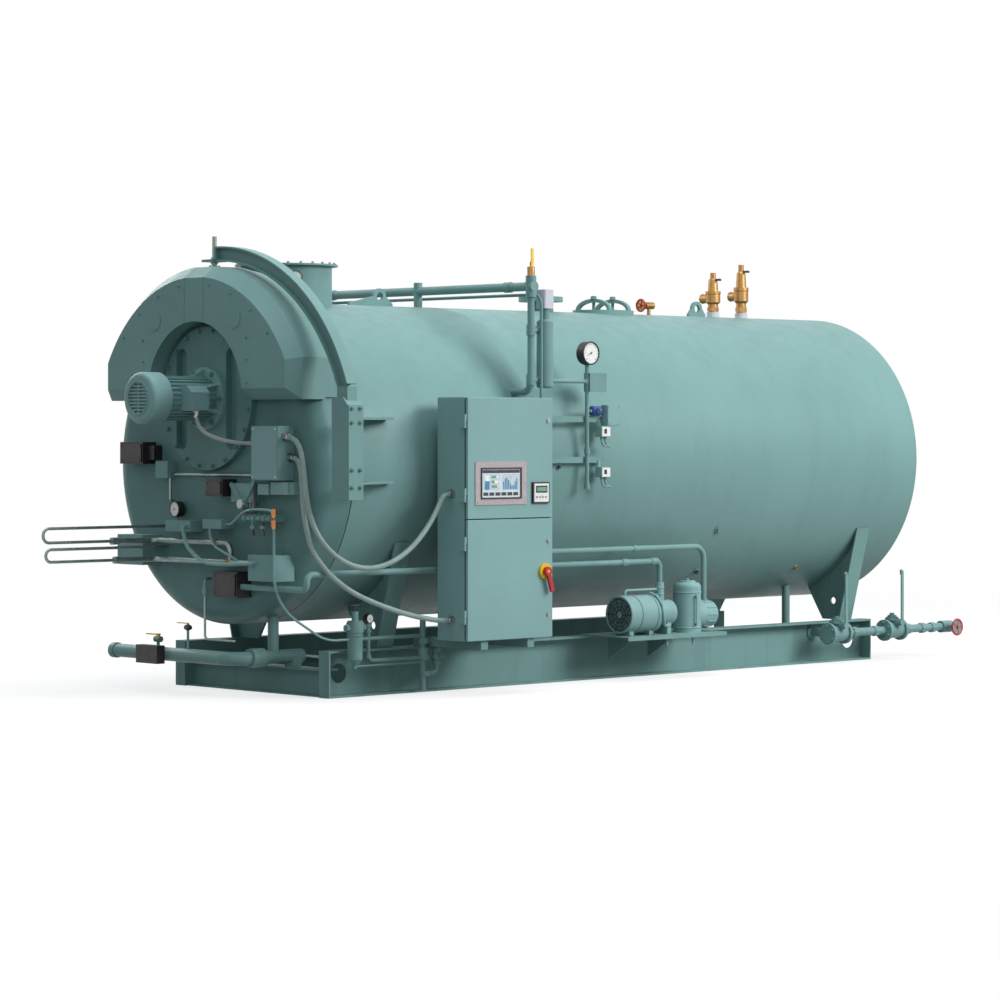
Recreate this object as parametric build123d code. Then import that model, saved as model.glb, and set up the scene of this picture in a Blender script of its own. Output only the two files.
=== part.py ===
from build123d import *
import math
import os

# Packaged horizontal fire-tube boiler on a two-rail skid, in millimetres.
# X runs along the boiler from burner end to rear end, Y away from the control side, Z up from the floor.
# The origin is the middle of the skid at floor level.

# Fits
SEAT = 0.3
RUN = 6.0
OVERCUT = 2.0

# Skid
SKID_LENGTH = 5370.0
RAIL_DEPTH = 305.0
RAIL_FLANGE = 102.0
RAIL_WEB = 11.0
RAIL_FLANGE_T = 14.0
RAIL_CLEAR_WIDTH = 1406.0
END_PLATE_T = 12.0
LIFT_HOLE_R = 65.0
LIFT_HOLE_INSET = 160.0
CROSS_DEPTH = 180.0
CROSS_FLANGE = 70.0
CROSS_T = 10.0
FRONT_CROSS_INSET = 95.0
SECOND_CROSS_INSET = 820.0

# Saddles
FRONT_SADDLE_INSET = 520.0
REAR_SADDLE_INSET = 244.0
SADDLE_WEB_T = 16.0
SADDLE_STRIP_W = 140.0
SADDLE_STRIP_T = 12.0
SADDLE_FOOT_INSIDE = 160.0
SADDLE_FOOT_OUTSIDE = 45.0
SADDLE_HOLE_R = 27.0
SADDLE_TOP_OUT_SHARE = 0.873
SADDLE_TOP_IN_SHARE = 0.376

# Vessel
SHELL_R = 1065.0
SHELL_LIFT = 455.0
SHELL_WALL = 75.0
SHELL_FRONT_OVER = 5.0
SHELL_REAR_OVER = 225.0
SHELL_HOLE_GAP = 4.0
REAR_HEAD_T = 40.0
REAR_HEAD_RECESS = 25.0
REAR_PLUG_R = 230.0
REAR_PLUG_T = 50.0
TUBE_SHEET_SETBACK = 740.0
TUBE_SHEET_T = 25.0

# Places along the shell, as shares of its length from the front
FRONT_LUG_SHARE = 0.1888
HEADER_SHARE = 0.2675
MANIFOLD_SHARE = 0.3618
NOZZLE_SHARE = 0.4788
MANWAY_SHARE = 0.5923
VENT_SHARE = 0.6777
REAR_LUG_SHARE = 0.7688
VALVE_FRONT_SHARE = 0.8021
VALVE_REAR_SHARE = 0.8580

# Front door
DOOR_DEPTH = 312.0
DOOR_EDGE_R = 145.0
DOOR_WALL = 80.0
GASKET_T = 8.0
GASKET_RECESS = 6.0

# What stands on the door is laid out for a door of this radius and grows with it
DOOR_LAYOUT_R = 1065.0

# Fan shroud, a horseshoe housing over the upper half of the door
SHROUD_STAND = 150.0
SHROUD_LAP = 126.0
SHROUD_BEVEL_DEPTH = 86.0
SHROUD_STEP = 72.0
SHROUD_ARC_RISE = 152.0
SHROUD_ARC_R = 1063.0
SHROUD_FLAT_HALF = 101.0
SHROUD_SHOULDER = 130.0
SHROUD_BOTTOM_RISE = 483.0
SHROUD_BAND_LAP = 84.0
SHROUD_BAND_INSET = 14.0
SHROUD_SEAM = 4.0
SHROUD_PORT_R = 65.0
SHROUD_PORT_T = 4.0
SHROUD_PORT_Y = 418.0
SHROUD_PORT_RISE = 938.0
ARCH_CLEAR = 27.0
ARCH_RISE = 428.0

# Blower and burner plate
FAN_AXIS_RISE = 421.0
BURNER_PLATE_R = 470.0
BURNER_PLATE_T = 45.0
BURNER_SLOT_Y = 262.0
BURNER_SLOT_W = 110.0
BURNER_SLOT_DROP = 335.0
BURNER_SLOT_RISE = 330.0
MOTOR_FLANGE_R = 205.0
MOTOR_FLANGE_T = 25.0
MOTOR_R = 132.0
MOTOR_FIN = 14.0
MOTOR_FINS = 28
MOTOR_FIN_T = 7.0
MOTOR_LENGTH = 380.0
MOTOR_RIBS = 6
MOTOR_RIB_T = 14.0
MOTOR_RIB_REACH = 95.0
FAN_COVER_R = 168.0
FAN_COVER_LENGTH = 150.0
FAN_COVER_EDGE = 30.0
FAN_COVER_BEAD = 6.0
FAN_GRILLE_R = 104.0
FAN_SLOT_H = 11.0
FAN_SLOT_PITCH = 22.0
FAN_SLOT_DEPTH = 14.0
FAN_SLOT_BAR = 9.0
FAN_SLOT_ROWS = 9
TERMINAL_BOX_L = 150.0
TERMINAL_BOX_D = 90.0
TERMINAL_BOX_H = 165.0
TERMINAL_BOX_CHAMFER = 45.0
TERMINAL_BOX_SHARE = 0.55

# Davit
DAVIT_SETBACK = 70.0
DAVIT_GAP = 34.0
DAVIT_FOOT = 60.0
DAVIT_DEPTH = 100.0
DAVIT_WIDTH = 80.0
DAVIT_FLANGE_T = 12.0
DAVIT_WEB_T = 10.0
POST_WIDTH_X = 121.0
POST_GAP = 138.0
POST_SHROUD_GAP = 40.0
POST_DEPTH = 155.0
POST_DROP = 225.0
POST_RISE = 423.0
POST_CHAMFER = 50.0
POST_BRACKET_T = 16.0
POST_BRACKET_LOW = -130.0
POST_BRACKET_HIGH = 280.0
POST_BRACKET_LENGTH = 490.0
POST_BRACKET_ROOT = 40.0
POST_BRACKET_END = 40.0
POST_PLATE_T = 10.0
ROD_R = 15.0
ROD_CLEAR = 1.0
ROD_OVER = 69.0
TIP_PLATE_T = 16.0
TIP_PLATE_R = 60.0

# Stack outlet
STACK_R = 305.0
STACK_WALL = 8.0
STACK_FLANGE_R = 345.0
STACK_FLANGE_T = 12.0
STACK_RISE = 253.0
STACK_INSET = 10.0
DIAL_R = 43.0
DIAL_DEPTH = 26.0
DIAL_STEM = 43.0
DIAL_STEM_R = 8.0
DIAL_DROP = 95.0
DIAL_TURN = 30.0

# Lifting lugs
FRONT_LUG_LENGTH = 390.0
FRONT_LUG_EYE_SHIFT = 80.0
FRONT_LUG_EYE_RISE = 66.0
REAR_LUG_LENGTH = 180.0
REAR_LUG_EYE_RISE = 58.0
LUG_EYE_R = 55.0
LUG_EDGE = 16.0
LUG_T = 25.0
LUG_HOLE_R = 28.0

# Steam nozzle
NOZZLE_R = 92.0
NOZZLE_BORE_R = 77.0
NOZZLE_FLANGE_R = 159.0
NOZZLE_FLANGE_T = 36.0
NOZZLE_RISE = 104.0
NOZZLE_BOLT_CIRCLE_R = 135.0
NOZZLE_HOLES = 12
NOZZLE_HOLE_R = 11.0

# Manway
MANWAY_HALF_X = 250.0
MANWAY_HALF_Y = 195.0
MANWAY_RING_W = 38.0
MANWAY_RISE = 21.0
MANWAY_COVER_T = 16.0
YOKE_PITCH = 196.0
YOKE_R = 175.0
YOKE_H = 84.0
YOKE_W = 26.0
YOKE_T = 30.0
YOKE_BOLT_R = 12.0
YOKE_BOLT_OVER = 21.0

# Steam header and water columns
HEADER_RISE = 110.0
HEADER_R = 30.0
COLUMN_GAP = 67.0
COLUMN_R = 24.0
COLUMN_DROP = 595.0
COLUMN_REACH_SHARE = 0.8
FITTING_R = 36.0
UNION_INSET = 190.0
UNION_L = 60.0
CUTOFF_SHIFT = 130.0
CUTOFF_R = 57.0
CUTOFF_DOME = 20.0
CUTOFF_LOW_DROP = 570.0
CUTOFF_HIGH_DROP = 108.0
CUTOFF_NECK_R = 31.0
CUTOFF_HEAD_WIDTH = 90.0
CUTOFF_HEAD_DROP = 35.0
CUTOFF_HEAD_HEIGHT = 127.0
CUTOFF_TAP_HIGH_DROP = 182.0
CUTOFF_TAP_LOW_DROP = 515.0
TAP_R = 21.6
BALL_VALVE_R = 26.0
BALL_VALVE_H = 60.0
BALL_STEM_R = 9.0
BALL_STEM_H = 33.0
BRIDGE_R = 11.0
BRIDGE_SHIFT = 62.0
BRIDGE_DROP = 52.0
BRIDGE_OUT = 36.0
BRIDGE_BEND = 70.0
BRIDGE_LOWER = 90.0

# Pressure gauge manifold
MANIFOLD_R = 14.0
MANIFOLD_DROP = 616.0
MANIFOLD_TAP_DROP = 520.0
MANIFOLD_TEE_HIGH = 259.0
MANIFOLD_TEE_LOW = 21.0
GAUGE_R = 79.0
GAUGE_DEPTH = 72.0
GAUGE_DROP = 329.0
BAR_HIGH_DROP = 139.0
BAR_LOW_DROP = 416.0
BAR_HIGH_REACH = 269.0
BAR_LOW_REACH = 194.0
BAR_T = 6.0
BAR_H = 40.0
CONTROL_DEPTH = 60.0
CONTROL_W = 120.0
CONTROL_BELOW = 46.0
CONTROL_ABOVE = 96.0
SWITCH_BOX_W = 160.0
SWITCH_BOX_H = 128.0
SWITCH_BOX_DROP = 527.0
SWITCH_BOX_DEPTH = 60.0
SENSOR_W = 85.0
SENSOR_H = 70.0
SENSOR_HANG = 30.0
SENSOR_REACH = 137.0
SENSOR_STRIP_W = 20.0

# Safety valves
VALVE_BASE_R = 48.0
VALVE_BASE_RISE = 37.0
VALVE_FRONT_H = 298.0
VALVE_REAR_H = 369.0
# Outline of a safety valve as shares of its base radius and of its height
VALVE_PROFILE = ((0, 0), (0.8, 0), (0.8, 0.2), (1.15, 0.25), (1.15, 0.45), (0.85, 0.5), (0.7, 0.82), (0.45, 0.86),
                 (0.45, 1), (0, 1))

# Vent valve
VENT_RISE = 70.0
VENT_WHEEL_R = 42.0
VENT_WHEEL_REACH = 85.0
VENT_WHEEL_T = 10.0
VENT_BODY_R = 26.0
VENT_BODY_HALF = 42.0
VENT_STEM_R = 14.0

# Control cabinet
CAB_SETBACK = 673.0
CAB_WIDTH = 776.0
CAB_GAP = 47.0
CAB_DEPTH = 283.0
CAB_LIFT = 61.0
CAB_HEIGHT = 1581.0
CAB_SEAM_SHARE = 0.499
CAB_SHEET = 5.0
CAB_DOOR_T = 20.0
HINGE_R = 10.0
HINGE_GAP = 2.0
HINGE_PIN_R = 4.0
HINGE_KNUCKLE = 45.0
HINGE_INSET = 110.0
ARM_WIDTH = 60.0
ARM_INSET = 150.0
SCREEN_PANEL_W = 457.0
SCREEN_PANEL_H = 280.0
SCREEN_PANEL_T = 6.0
SCREEN_PANEL_SIDE = 70.0
SCREEN_PANEL_ABOVE_SEAM = 93.0
SCREEN_W = 345.0
SCREEN_H = 184.0
MODULE_W = 150.0
MODULE_H = 140.0
MODULE_T = 14.0
MODULE_SIDE = 47.0
MODULE_ABOVE_SEAM = 97.0
DISCONNECT_SIDE = 80.0
DISCONNECT_BELOW_SEAM = 352.0
DISCONNECT_R = 52.0
DISCONNECT_T = 18.0
DISCONNECT_SHAFT_R = 10.0
HANDLE_LENGTH = 140.0
HANDLE_WIDTH = 30.0
HANDLE_T = 24.0
HANDLE_LEAN = 17.0

# Air compressor set on its shelf
SHELF_FRONT = 330.0
SHELF_REAR = 660.0
SHELF_OVER = 140.0
SHELF_T = 8.0
SHELF_LIP = 28.0
GUSSET_FRONT = 128.0
GUSSET_REAR = 263.0
GUSSET_T = 10.0
GUSSET_DEPTH = 169.0
GUSSET_INSET = 105.0
PUMP_INSIDE = 5.0
PUMP_LIFT = 147.0
DRUM_R = 131.0
DRUM_LIP = 12.0
DRUM_MOUTH = 34.0
DRUM_HUB_R = 42.0
DRUM_INSET = 46.0
DRUM_LENGTH = 314.0
BLOCK_R = 88.0
BLOCK_LENGTH = 180.0
FOOT_HALF = 20.0
FOOT_INSET = 60.0
TANK_SETBACK = 260.0
TANK_R = 98.0
TANK_H = 350.0
BELL_R = 95.0
BELL_INSET = 20.0
FILTER_R = 31.0
FILTER_H = 359.0
CROSSOVER_R = 9.0
CROSSOVER_RISE = 34.0
CROSSOVER_BEND = 22.0

# Air pipes along the near side
AIR_R = 20.0
AIR_HIGH_DROP = 608.0
AIR_LOW_DROP = 700.0
AIR_FRONT_DROP = 798.0
AIR_BEND = 90.0
AIR_TAP_SETBACK = 91.0
AIR_FRONT_STAND = 75.0
AIR_SINK = 20.0

# Blowdown line at the rear of the near rail
BLOW_OUT = 145.0
BLOW_Z = 225.0
BLOW_R = 30.0
BLOW_HOLE_GAP = 12.0
BLOW_COLLAR_R = 62.0
BLOW_COLLAR_T = 14.0
BLOW_DRAIN_IN = 253.0
BLOW_VALVE_INSET = 565.0
BLOW_VALVE_PITCH = 641.0
BLOW_VALVE_L = 200.0
BLOW_WHEEL_OVER = 706.0
BLOW_END_OVER = 863.0
BLOW_WHEEL_R = 57.0
BLOW_WHEEL_T = 15.0
BLOW_WHEEL_OUT = 120.0
BLOW_GLOBE_R = 45.0
BLOW_VALVE_R = 62.0
BLOW_FLANGE_R = 80.0
BLOW_FLANGE_T = 22.0
LEVER_L = 385.0
LEVER_W = 26.0
LEVER_T = 10.0
LEVER_HUB_R = 26.0
LEVER_HUB_T = 24.0
LEVER_RISE = 60.0
STEM_R = 12.0

# Gas pipe across the front
GAS_STAND = 80.0
GAS_Z = 250.0
GAS_R = 45.0
GAS_CAP_Y = 960.0
GAS_TURN_Y = -330.0
GAS_BEND = 110.0
GAS_REACH = 570.0
GAS_UNION_R = 63.0
GAS_UNION_L = 110.0
GAS_UNION_REACH = 130.0
GAS_RISER_REACH = 330.0
GAS_RISER_R = 36.0
GAS_COCK_Y = 470.0
GAS_COCK_R = 11.0
GAS_COCK_H = 95.0
GAS_COCK_BODY_R = 20.0
GAS_COCK_BODY_L = 60.0
GAS_ACTUATOR_Y0 = 341.0
GAS_ACTUATOR_Y1 = 570.0
GAS_ACTUATOR_DEPTH = 65.0
GAS_ACTUATOR_H = 120.0

# Boxes on the door as (nearest Y, farthest Y, lowest rise, highest rise, depth), rises from the shell's axis
JUNCTION_BOX = (-838.0, -572.0, -106.0, 241.0, 130.0)
RELAY_BOXES = ((-698.0, -587.0, -200.0, -131.0, 90.0), (-888.0, -718.0, -197.0, -117.0, 90.0))
DAMPER_ACTUATOR = (600.0, 851.0, -12.0, 134.0, 110.0)
DAMPER_NECK = (530.0, 600.0, 16.0, 112.0, 70.0)
FUEL_ACTUATOR = (-262.0, -85.0, -216.0, -105.0, 120.0)
AIR_ACTUATOR = (-411.0, -162.0, -869.0, -702.0, 120.0)
GAUGE_BLOCK = (73.0, 341.0, -453.0, -380.0, 120.0)
TUBE_BLOCK = (-252.0, -54.0, -427.0, -366.0, 120.0)
VALVE_BLOCK = (-788.0, -526.0, -753.0, -585.0, 120.0)
SWITCH_BLOCK = (382.0, 513.0, -104.0, 8.0, 70.0)
UPPER_VALVE = (-764.0, -491.0, -372.0, -330.0, 100.0)
LINKAGE_BOX = (-500.0, -290.0, -250.0, -130.0, 70.0)
LOOP_BOX = (548.0, 826.0, -684.0, -484.0, 150.0)

# Linkage and front gauge on the door
LINK_T = 10.0
LINK_W = 32.0
LINK_A = (-300.0, -140.0)
LINK_B = (-415.0, -262.0)
LINK_C = (-525.0, -125.0)
LINK_CAM_R = 38.0
LINK_CAM_T = 24.0
FRONT_GAUGE_Y = 300.0
FRONT_GAUGE_RISE = -308.0
FRONT_GAUGE_R = 52.0
FRONT_GAUGE_STAND = 50.0
FRONT_GAUGE_DEPTH = 48.0
FRONT_GAUGE_STEM_R = 9.0

# Fuel tube loops and pipes in front of the door
LOOP_R = 10.0
LOOP_REACH = 990.0
LOOP_UNION_REACH = 415.0
LOOP_UNION_R = 24.0
LOOP_UNION_L = 60.0
FUEL_R = 18.0
FUEL_BEND = 60.0
FUEL_STAND = 80.0
HIGH_LOOP_Y = 500.0
HIGH_LOOP_OUT = -425.0
HIGH_LOOP_BACK = -517.0
HIGH_PIPE_END = -295.0
LOW_LOOP_Y = 470.0
LOW_LOOP_OUT = -560.0
LOW_LOOP_BACK = -641.0
BLOCK_TUBE_R = 13.0
BLOCK_TUBE_STAND = 45.0
TUBE_ARC_SHARE = 0.45
SMALL_TUBE_R = 8.0
SMALL_TUBE_STAND = 112.0
PURGE_STAND = 135.0
PURGE_LEAVE = 48.0
# Tube routes across the door as (Y, rise from the shell's axis)
BLOCK_TUBE = ((99, -420), (60, -545), (-110, -648), (-330, -654), (-600, -640))
SMALL_TUBE = ((-123, -480), (-175, -546), (-330, -599))
SMALL_TUBE_END_Y = -400.0
PURGE_TUBE = ((-523, -295), (-700, -292), (-806, -300), (-806, -900))
RIGID_CONDUIT_R = 9.0
RIGID_CONDUIT_RISE = -78.0
RIGID_CONDUIT_STAND = 30.0
RIGID_DROP_Y = 404.0
RIGID_DROP_RISE = -257.0
RIGID_DROP_BEND = 18.0
DRIP_R = 8.0
DRIP_Y = 8.0
DRIP_RISE = -760.0
DRIP_STAND = 50.0
DRIP_LOW_Z = 365.0
DRIP_END_Y = -300.0
DRIP_BEND = 28.0

# Strainer and riser on the near rail
RAIL_PIPE_OUT = 65.0
RAIL_CLIP_HALF = 20.0
STRAINER_INSET = 165.0
STRAINER_R = 50.0
STRAINER_LOW = 250.0
STRAINER_HIGH = 500.0
STRAINER_NECK_R = 22.0
STRAINER_NECK_H = 60.0
RISER_INSET = 755.0
RISER_R = 20.0
RISER_LOW = 20.0
RISER_HIGH = 480.0
RISER_VALVE_R = 34.0
RISER_VALVE_LOW = 230.0
RISER_VALVE_HIGH = 300.0
FEED_R = 12.0
FEED_Z = 380.0

# Flexible conduits, as steps from where they leave and from where they arrive
CONDUIT_R = 17.0
MOTOR_CONDUIT_R = 13.0
UPPER_CONDUIT_STAND = 70.0
UPPER_CONDUIT_RISE = 170.0
UPPER_CONDUIT_ABOVE_SEAM = 165.0
LOWER_CONDUIT_STAND = 30.0
LOWER_CONDUIT_RISE = 40.0
LOWER_CONDUIT_ABOVE_BOTTOM = 134.0
MOTOR_CONDUIT_STAND = 80.0
MOTOR_CONDUIT_RISE = 130.0
CONDUIT_CABINET_INSET = 145.0
UPPER_LEAVE = ((0, 0, 0), (0, -82, 0), (2, -152, -70), (8, -177, -210), (18, -192, -400), (45, -227, -580),
               (135, -292, -740))
UPPER_ARRIVE = ((-743, 75, -470), (-523, 60, -460), (-323, 45, -360), (-173, 25, -200), (-103, 5, -60),
                (-68, 0, 0), (0, 0, 0))
LOWER_LEAVE = ((0, 0, 0), (0, -67, 0), (-2, -112, -70), (-5, -124, -200), (-2, -147, -400), (10, -197, -580),
               (80, -272, -730))
LOWER_ARRIVE = ((-773, 100, 200), (-553, 65, 110), (-343, 35, 45), (-173, 7, 10), (-83, 0, 0), (0, 0, 0))
MOTOR_LEAVE = ((0, 0, 0), (0, 0, -68), (25, -50, -143), (85, -150, -188))
MOTOR_ARRIVE = ((-30, 142, 0), (0, 72, 0), (0, 0, 0))

RAIL_IN = RAIL_CLEAR_WIDTH / 2
RAIL_OUT = RAIL_IN + RAIL_FLANGE
SKID_HALF = SKID_LENGTH / 2
FRONT_SADDLE_X = FRONT_SADDLE_INSET - SKID_HALF
REAR_SADDLE_X = SKID_HALF - REAR_SADDLE_INSET
CROSS_X = (FRONT_CROSS_INSET - SKID_HALF, SECOND_CROSS_INSET - SKID_HALF, 0.0, REAR_SADDLE_X)
SHELL_AXIS_Z = SHELL_LIFT + SHELL_R
SHELL_TOP = SHELL_AXIS_Z + SHELL_R
SHELL_BORE_R = SHELL_R - SHELL_WALL
SHELL_FRONT_X = -SKID_HALF - SHELL_FRONT_OVER
SHELL_REAR_X = SKID_HALF + SHELL_REAR_OVER
SHELL_LENGTH = SHELL_REAR_X - SHELL_FRONT_X
DOOR_REAR_X = SHELL_FRONT_X - GASKET_T
DOOR_FACE_X = DOOR_REAR_X - DOOR_DEPTH
DOOR_UNIT = SHELL_R / DOOR_LAYOUT_R
FAN_AXIS_Z = SHELL_AXIS_Z + FAN_AXIS_RISE * DOOR_UNIT
SHROUD_SIDE = SHROUD_ARC_R - SHROUD_SHOULDER
SHROUD_CREST = (SHROUD_ARC_RISE + SHROUD_ARC_R) * DOOR_UNIT + SHROUD_STEP

# The davit's post clears the shell and the shroud, and its arm clears the shroud and the post
POST_IN_Y = max(SHELL_R + POST_GAP, SHROUD_SIDE * DOOR_UNIT + SHROUD_STEP + POST_SHROUD_GAP)
POST_Y = POST_IN_Y + POST_DEPTH / 2
DAVIT_OVER_POST_R = math.hypot(POST_Y, POST_RISE + DAVIT_FOOT) + DAVIT_DEPTH / 2
DAVIT_R = max(SHROUD_CREST + DAVIT_GAP + DAVIT_DEPTH, DAVIT_OVER_POST_R)
MOTOR_FLANGE_X = DOOR_FACE_X - BURNER_PLATE_T - MOTOR_FLANGE_T
MOTOR_END_X = MOTOR_FLANGE_X - MOTOR_LENGTH
TERMINAL_BOX_X = MOTOR_FLANGE_X - TERMINAL_BOX_SHARE * MOTOR_LENGTH
TERMINAL_BOX_Y = -MOTOR_R - MOTOR_FIN
STACK_X = SHELL_FRONT_X + STACK_R + STACK_INSET
STACK_TOP = SHELL_TOP + STACK_RISE
HEADER_X = SHELL_FRONT_X + HEADER_SHARE * SHELL_LENGTH
HEADER_Z = SHELL_TOP + HEADER_RISE
COLUMN_Y = SHELL_R + COLUMN_GAP
CUTOFF_X = HEADER_X + CUTOFF_SHIFT
MANIFOLD_X = SHELL_FRONT_X + MANIFOLD_SHARE * SHELL_LENGTH
CAB_FRONT_X = SHELL_FRONT_X + CAB_SETBACK
CAB_REAR_X = CAB_FRONT_X + CAB_WIDTH
CAB_BACK_Y = -SHELL_R - CAB_GAP
CAB_FRONT_Y = CAB_BACK_Y - CAB_DEPTH
CAB_BOTTOM = RAIL_DEPTH + CAB_LIFT
CAB_TOP = CAB_BOTTOM + CAB_HEIGHT
CAB_SEAM_Z = CAB_BOTTOM + CAB_SEAM_SHARE * CAB_HEIGHT
HINGE_X = CAB_FRONT_X - HINGE_R - HINGE_GAP
HINGE_Y = CAB_FRONT_Y + CAB_DOOR_T / 2
SHELF_TOP = RAIL_DEPTH + SHELF_T
PUMP_Y = PUMP_INSIDE - SHELL_R
PUMP_AXIS_Z = SHELF_TOP + PUMP_LIFT
DRUM_X0 = DRUM_INSET - SHELF_FRONT
DRUM_X1 = DRUM_X0 + DRUM_LENGTH
FILTER_X = DRUM_X1 + BLOCK_LENGTH / 2
TANK_X = SHELF_REAR - TANK_SETBACK
BELL_X1 = SHELF_REAR - BELL_INSET
BELL_Z = PUMP_AXIS_Z - TANK_R / 4
BLOW_Y = -RAIL_OUT - BLOW_OUT
BLOW_VALVE_1_X = SKID_HALF - BLOW_VALVE_INSET
BLOW_VALVE_2_X = BLOW_VALVE_1_X + BLOW_VALVE_PITCH
LEVER_Z = BLOW_Z + LEVER_RISE
GAS_X = DOOR_FACE_X - GAS_STAND
RAIL_PIPE_Y = -RAIL_OUT - RAIL_PIPE_OUT
STRAINER_X = STRAINER_INSET - SKID_HALF
RISER_X = RISER_INSET - SKID_HALF
PARTS = {}


# Shapes used by many pieces


def block(x0, x1, y0, y1, z0, z1):
    centre = Pos((x0 + x1) / 2, (y0 + y1) / 2, (z0 + z1) / 2)
    return centre * Box(abs(x1 - x0), abs(y1 - y0), abs(z1 - z0))


def rod(start, end, radius):
    start = Vector(start)
    run = Vector(end) - start
    return Part() + Solid.make_cylinder(radius, run.length, Plane(start, z_dir=run))


def drum(radius, x0, x1, y=0.0, z=SHELL_AXIS_Z):
    return rod((x0, y, z), (x1, y, z), radius)


def pipe(points, radius, bend):
    path = FilletPolyline(*points, radius=bend)
    section = Plane(path @ 0, z_dir=path % 0) * Circle(radius)
    return sweep(section, path)


def bent_tube(points, radius):
    # A tube whose arcs are each as large as the shorter of their two runs allows.
    points = [Vector(*p) for p in points]
    radii = []
    for a, b, c in zip(points, points[1:], points[2:]):
        turn = math.radians((b - a).get_angle(c - b))
        radii.append(TUBE_ARC_SHARE * min((b - a).length, (c - b).length) / math.tan(turn / 2))
    return pipe(points, radius, radii)


def lathe(base, profile, direction=(0, 0, 1), x_dir=(1, 0, 0)):
    # Turns a profile of (radius, height) points about an axis that starts at base.
    plane = Plane(base, x_dir=x_dir, z_dir=Vector(x_dir).cross(Vector(direction)))
    face = make_face(Polyline(*profile, close=True))
    return revolve(plane * face, Axis(base, direction))


def along_shell(share):
    return SHELL_FRONT_X + share * SHELL_LENGTH


def shell_half(height):
    # Half the shell's width at a height above the floor.
    return math.sqrt(SHELL_R**2 - (height - SHELL_AXIS_Z) ** 2)


def shell_rise(y):
    return math.sqrt(SHELL_R**2 - y**2)


def door_y(y):
    return y * DOOR_UNIT


def door_z(rise):
    return SHELL_AXIS_Z + rise * DOOR_UNIT


def on_shell(shape):
    return shape - drum(SHELL_R + SEAT, DOOR_REAR_X - SHELL_LENGTH, SHELL_REAR_X + SHELL_LENGTH)


def door_form(gap):
    body = drum(SHELL_R + gap, DOOR_FACE_X, DOOR_REAR_X)
    return fillet(body.edges().group_by(Axis.X)[0], DOOR_EDGE_R + gap)


def on_door(shape):
    return shape - door_form(SEAT)


def door_box(sizes):
    # A box on the door from (nearest Y, farthest Y, lowest rise, highest rise, depth).
    y0, y1, low, high, depth = sizes
    back = DOOR_FACE_X + DOOR_EDGE_R / 3
    return on_door(block(DOOR_FACE_X - depth, back, door_y(y0), door_y(y1), door_z(low), door_z(high)))


# Skid


def rail(side):
    web = block(-SKID_HALF, SKID_HALF, side * RAIL_IN, side * (RAIL_IN + RAIL_WEB), 0, RAIL_DEPTH)
    foot = block(-SKID_HALF, SKID_HALF, side * RAIL_IN, side * RAIL_OUT, 0, RAIL_FLANGE_T)
    beam = web + foot + Pos(0, 0, RAIL_DEPTH - RAIL_FLANGE_T) * foot
    for end in (-1, 1):
        x = end * SKID_HALF
        beam += block(x, x - end * END_PLATE_T, side * RAIL_IN, side * RAIL_OUT, 0, RAIL_DEPTH)
        beam -= web_hole(side, x - end * LIFT_HOLE_INSET, RAIL_DEPTH / 2, LIFT_HOLE_R)
    return beam


def web_hole(side, x, z, radius):
    inside = side * (RAIL_IN - OVERCUT)
    outside = side * (RAIL_IN + RAIL_WEB + OVERCUT)
    return rod((x, inside, z), (x, outside, z), radius)


def cross_member(x):
    web = block(x - CROSS_T / 2, x + CROSS_T / 2, -RAIL_IN, RAIL_IN, 0, CROSS_DEPTH)
    foot = block(x - CROSS_FLANGE, x + CROSS_FLANGE, -RAIL_IN, RAIL_IN, 0, CROSS_T)
    return web + foot + Pos(0, 0, CROSS_DEPTH - CROSS_T) * foot


def gas_cradle(x):
    # A block on the front cross member, hollowed to carry the gas pipe.
    half = CROSS_FLANGE / 2
    cradle = block(x - half, x + half, GAS_TURN_Y - GAS_R, GAS_TURN_Y + GAS_R, CROSS_DEPTH, GAS_Z)
    return cradle - drum(GAS_R + SEAT, x - half, x + half, GAS_TURN_Y, GAS_Z)


def saddle_leg(x, side):
    # A web plate cut to the shell, edged outside by a sloping strip.
    def plate(points, width):
        face = make_face(Polyline(*[(side * y, z) for y, z in points], close=True))
        return extrude(Plane.YZ.offset(x - width / 2) * face, width)

    y_in = SADDLE_TOP_IN_SHARE * SHELL_R
    y_out = SADDLE_TOP_OUT_SHARE * SHELL_R
    top_in = (y_in, SHELL_AXIS_Z - shell_rise(y_in))
    top_out = (y_out, SHELL_AXIS_Z - shell_rise(y_out))
    foot_in = (RAIL_IN - SADDLE_FOOT_INSIDE, RAIL_DEPTH)
    foot_out = (RAIL_IN + SADDLE_FOOT_OUTSIDE, RAIL_DEPTH)
    web = plate([foot_in, top_in, (y_in, SHELL_AXIS_Z), top_out, foot_out], SADDLE_WEB_T)
    strip_foot = (foot_out[0] + SADDLE_STRIP_T, RAIL_DEPTH)
    strip_top = (y_out + SADDLE_STRIP_T, top_out[1])
    strip = plate([foot_out, top_out, strip_top, strip_foot], SADDLE_STRIP_W)
    hole_y = side * (foot_in[0] + foot_out[0]) / 2
    hole_z = (RAIL_DEPTH + top_in[1]) / 2 + SADDLE_HOLE_R
    hole = rod((x - SADDLE_WEB_T, hole_y, hole_z), (x + SADDLE_WEB_T, hole_y, hole_z), SADDLE_HOLE_R)
    return on_shell(web + strip - hole)


def skid():
    PARTS["rail_near"] = rail(-1) - web_hole(-1, BLOW_VALVE_1_X, BLOW_Z, BLOW_R + BLOW_HOLE_GAP)
    PARTS["rail_far"] = rail(1)
    front = cross_member(CROSS_X[0]) + gas_cradle(CROSS_X[0])
    PARTS["skid_cross_members"] = [front] + [cross_member(x) for x in CROSS_X[1:]]
    saddles = (FRONT_SADDLE_X, REAR_SADDLE_X)
    PARTS["saddle_legs"] = [saddle_leg(x, side) for x in saddles for side in (-1, 1)]


# Vessel


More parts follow.
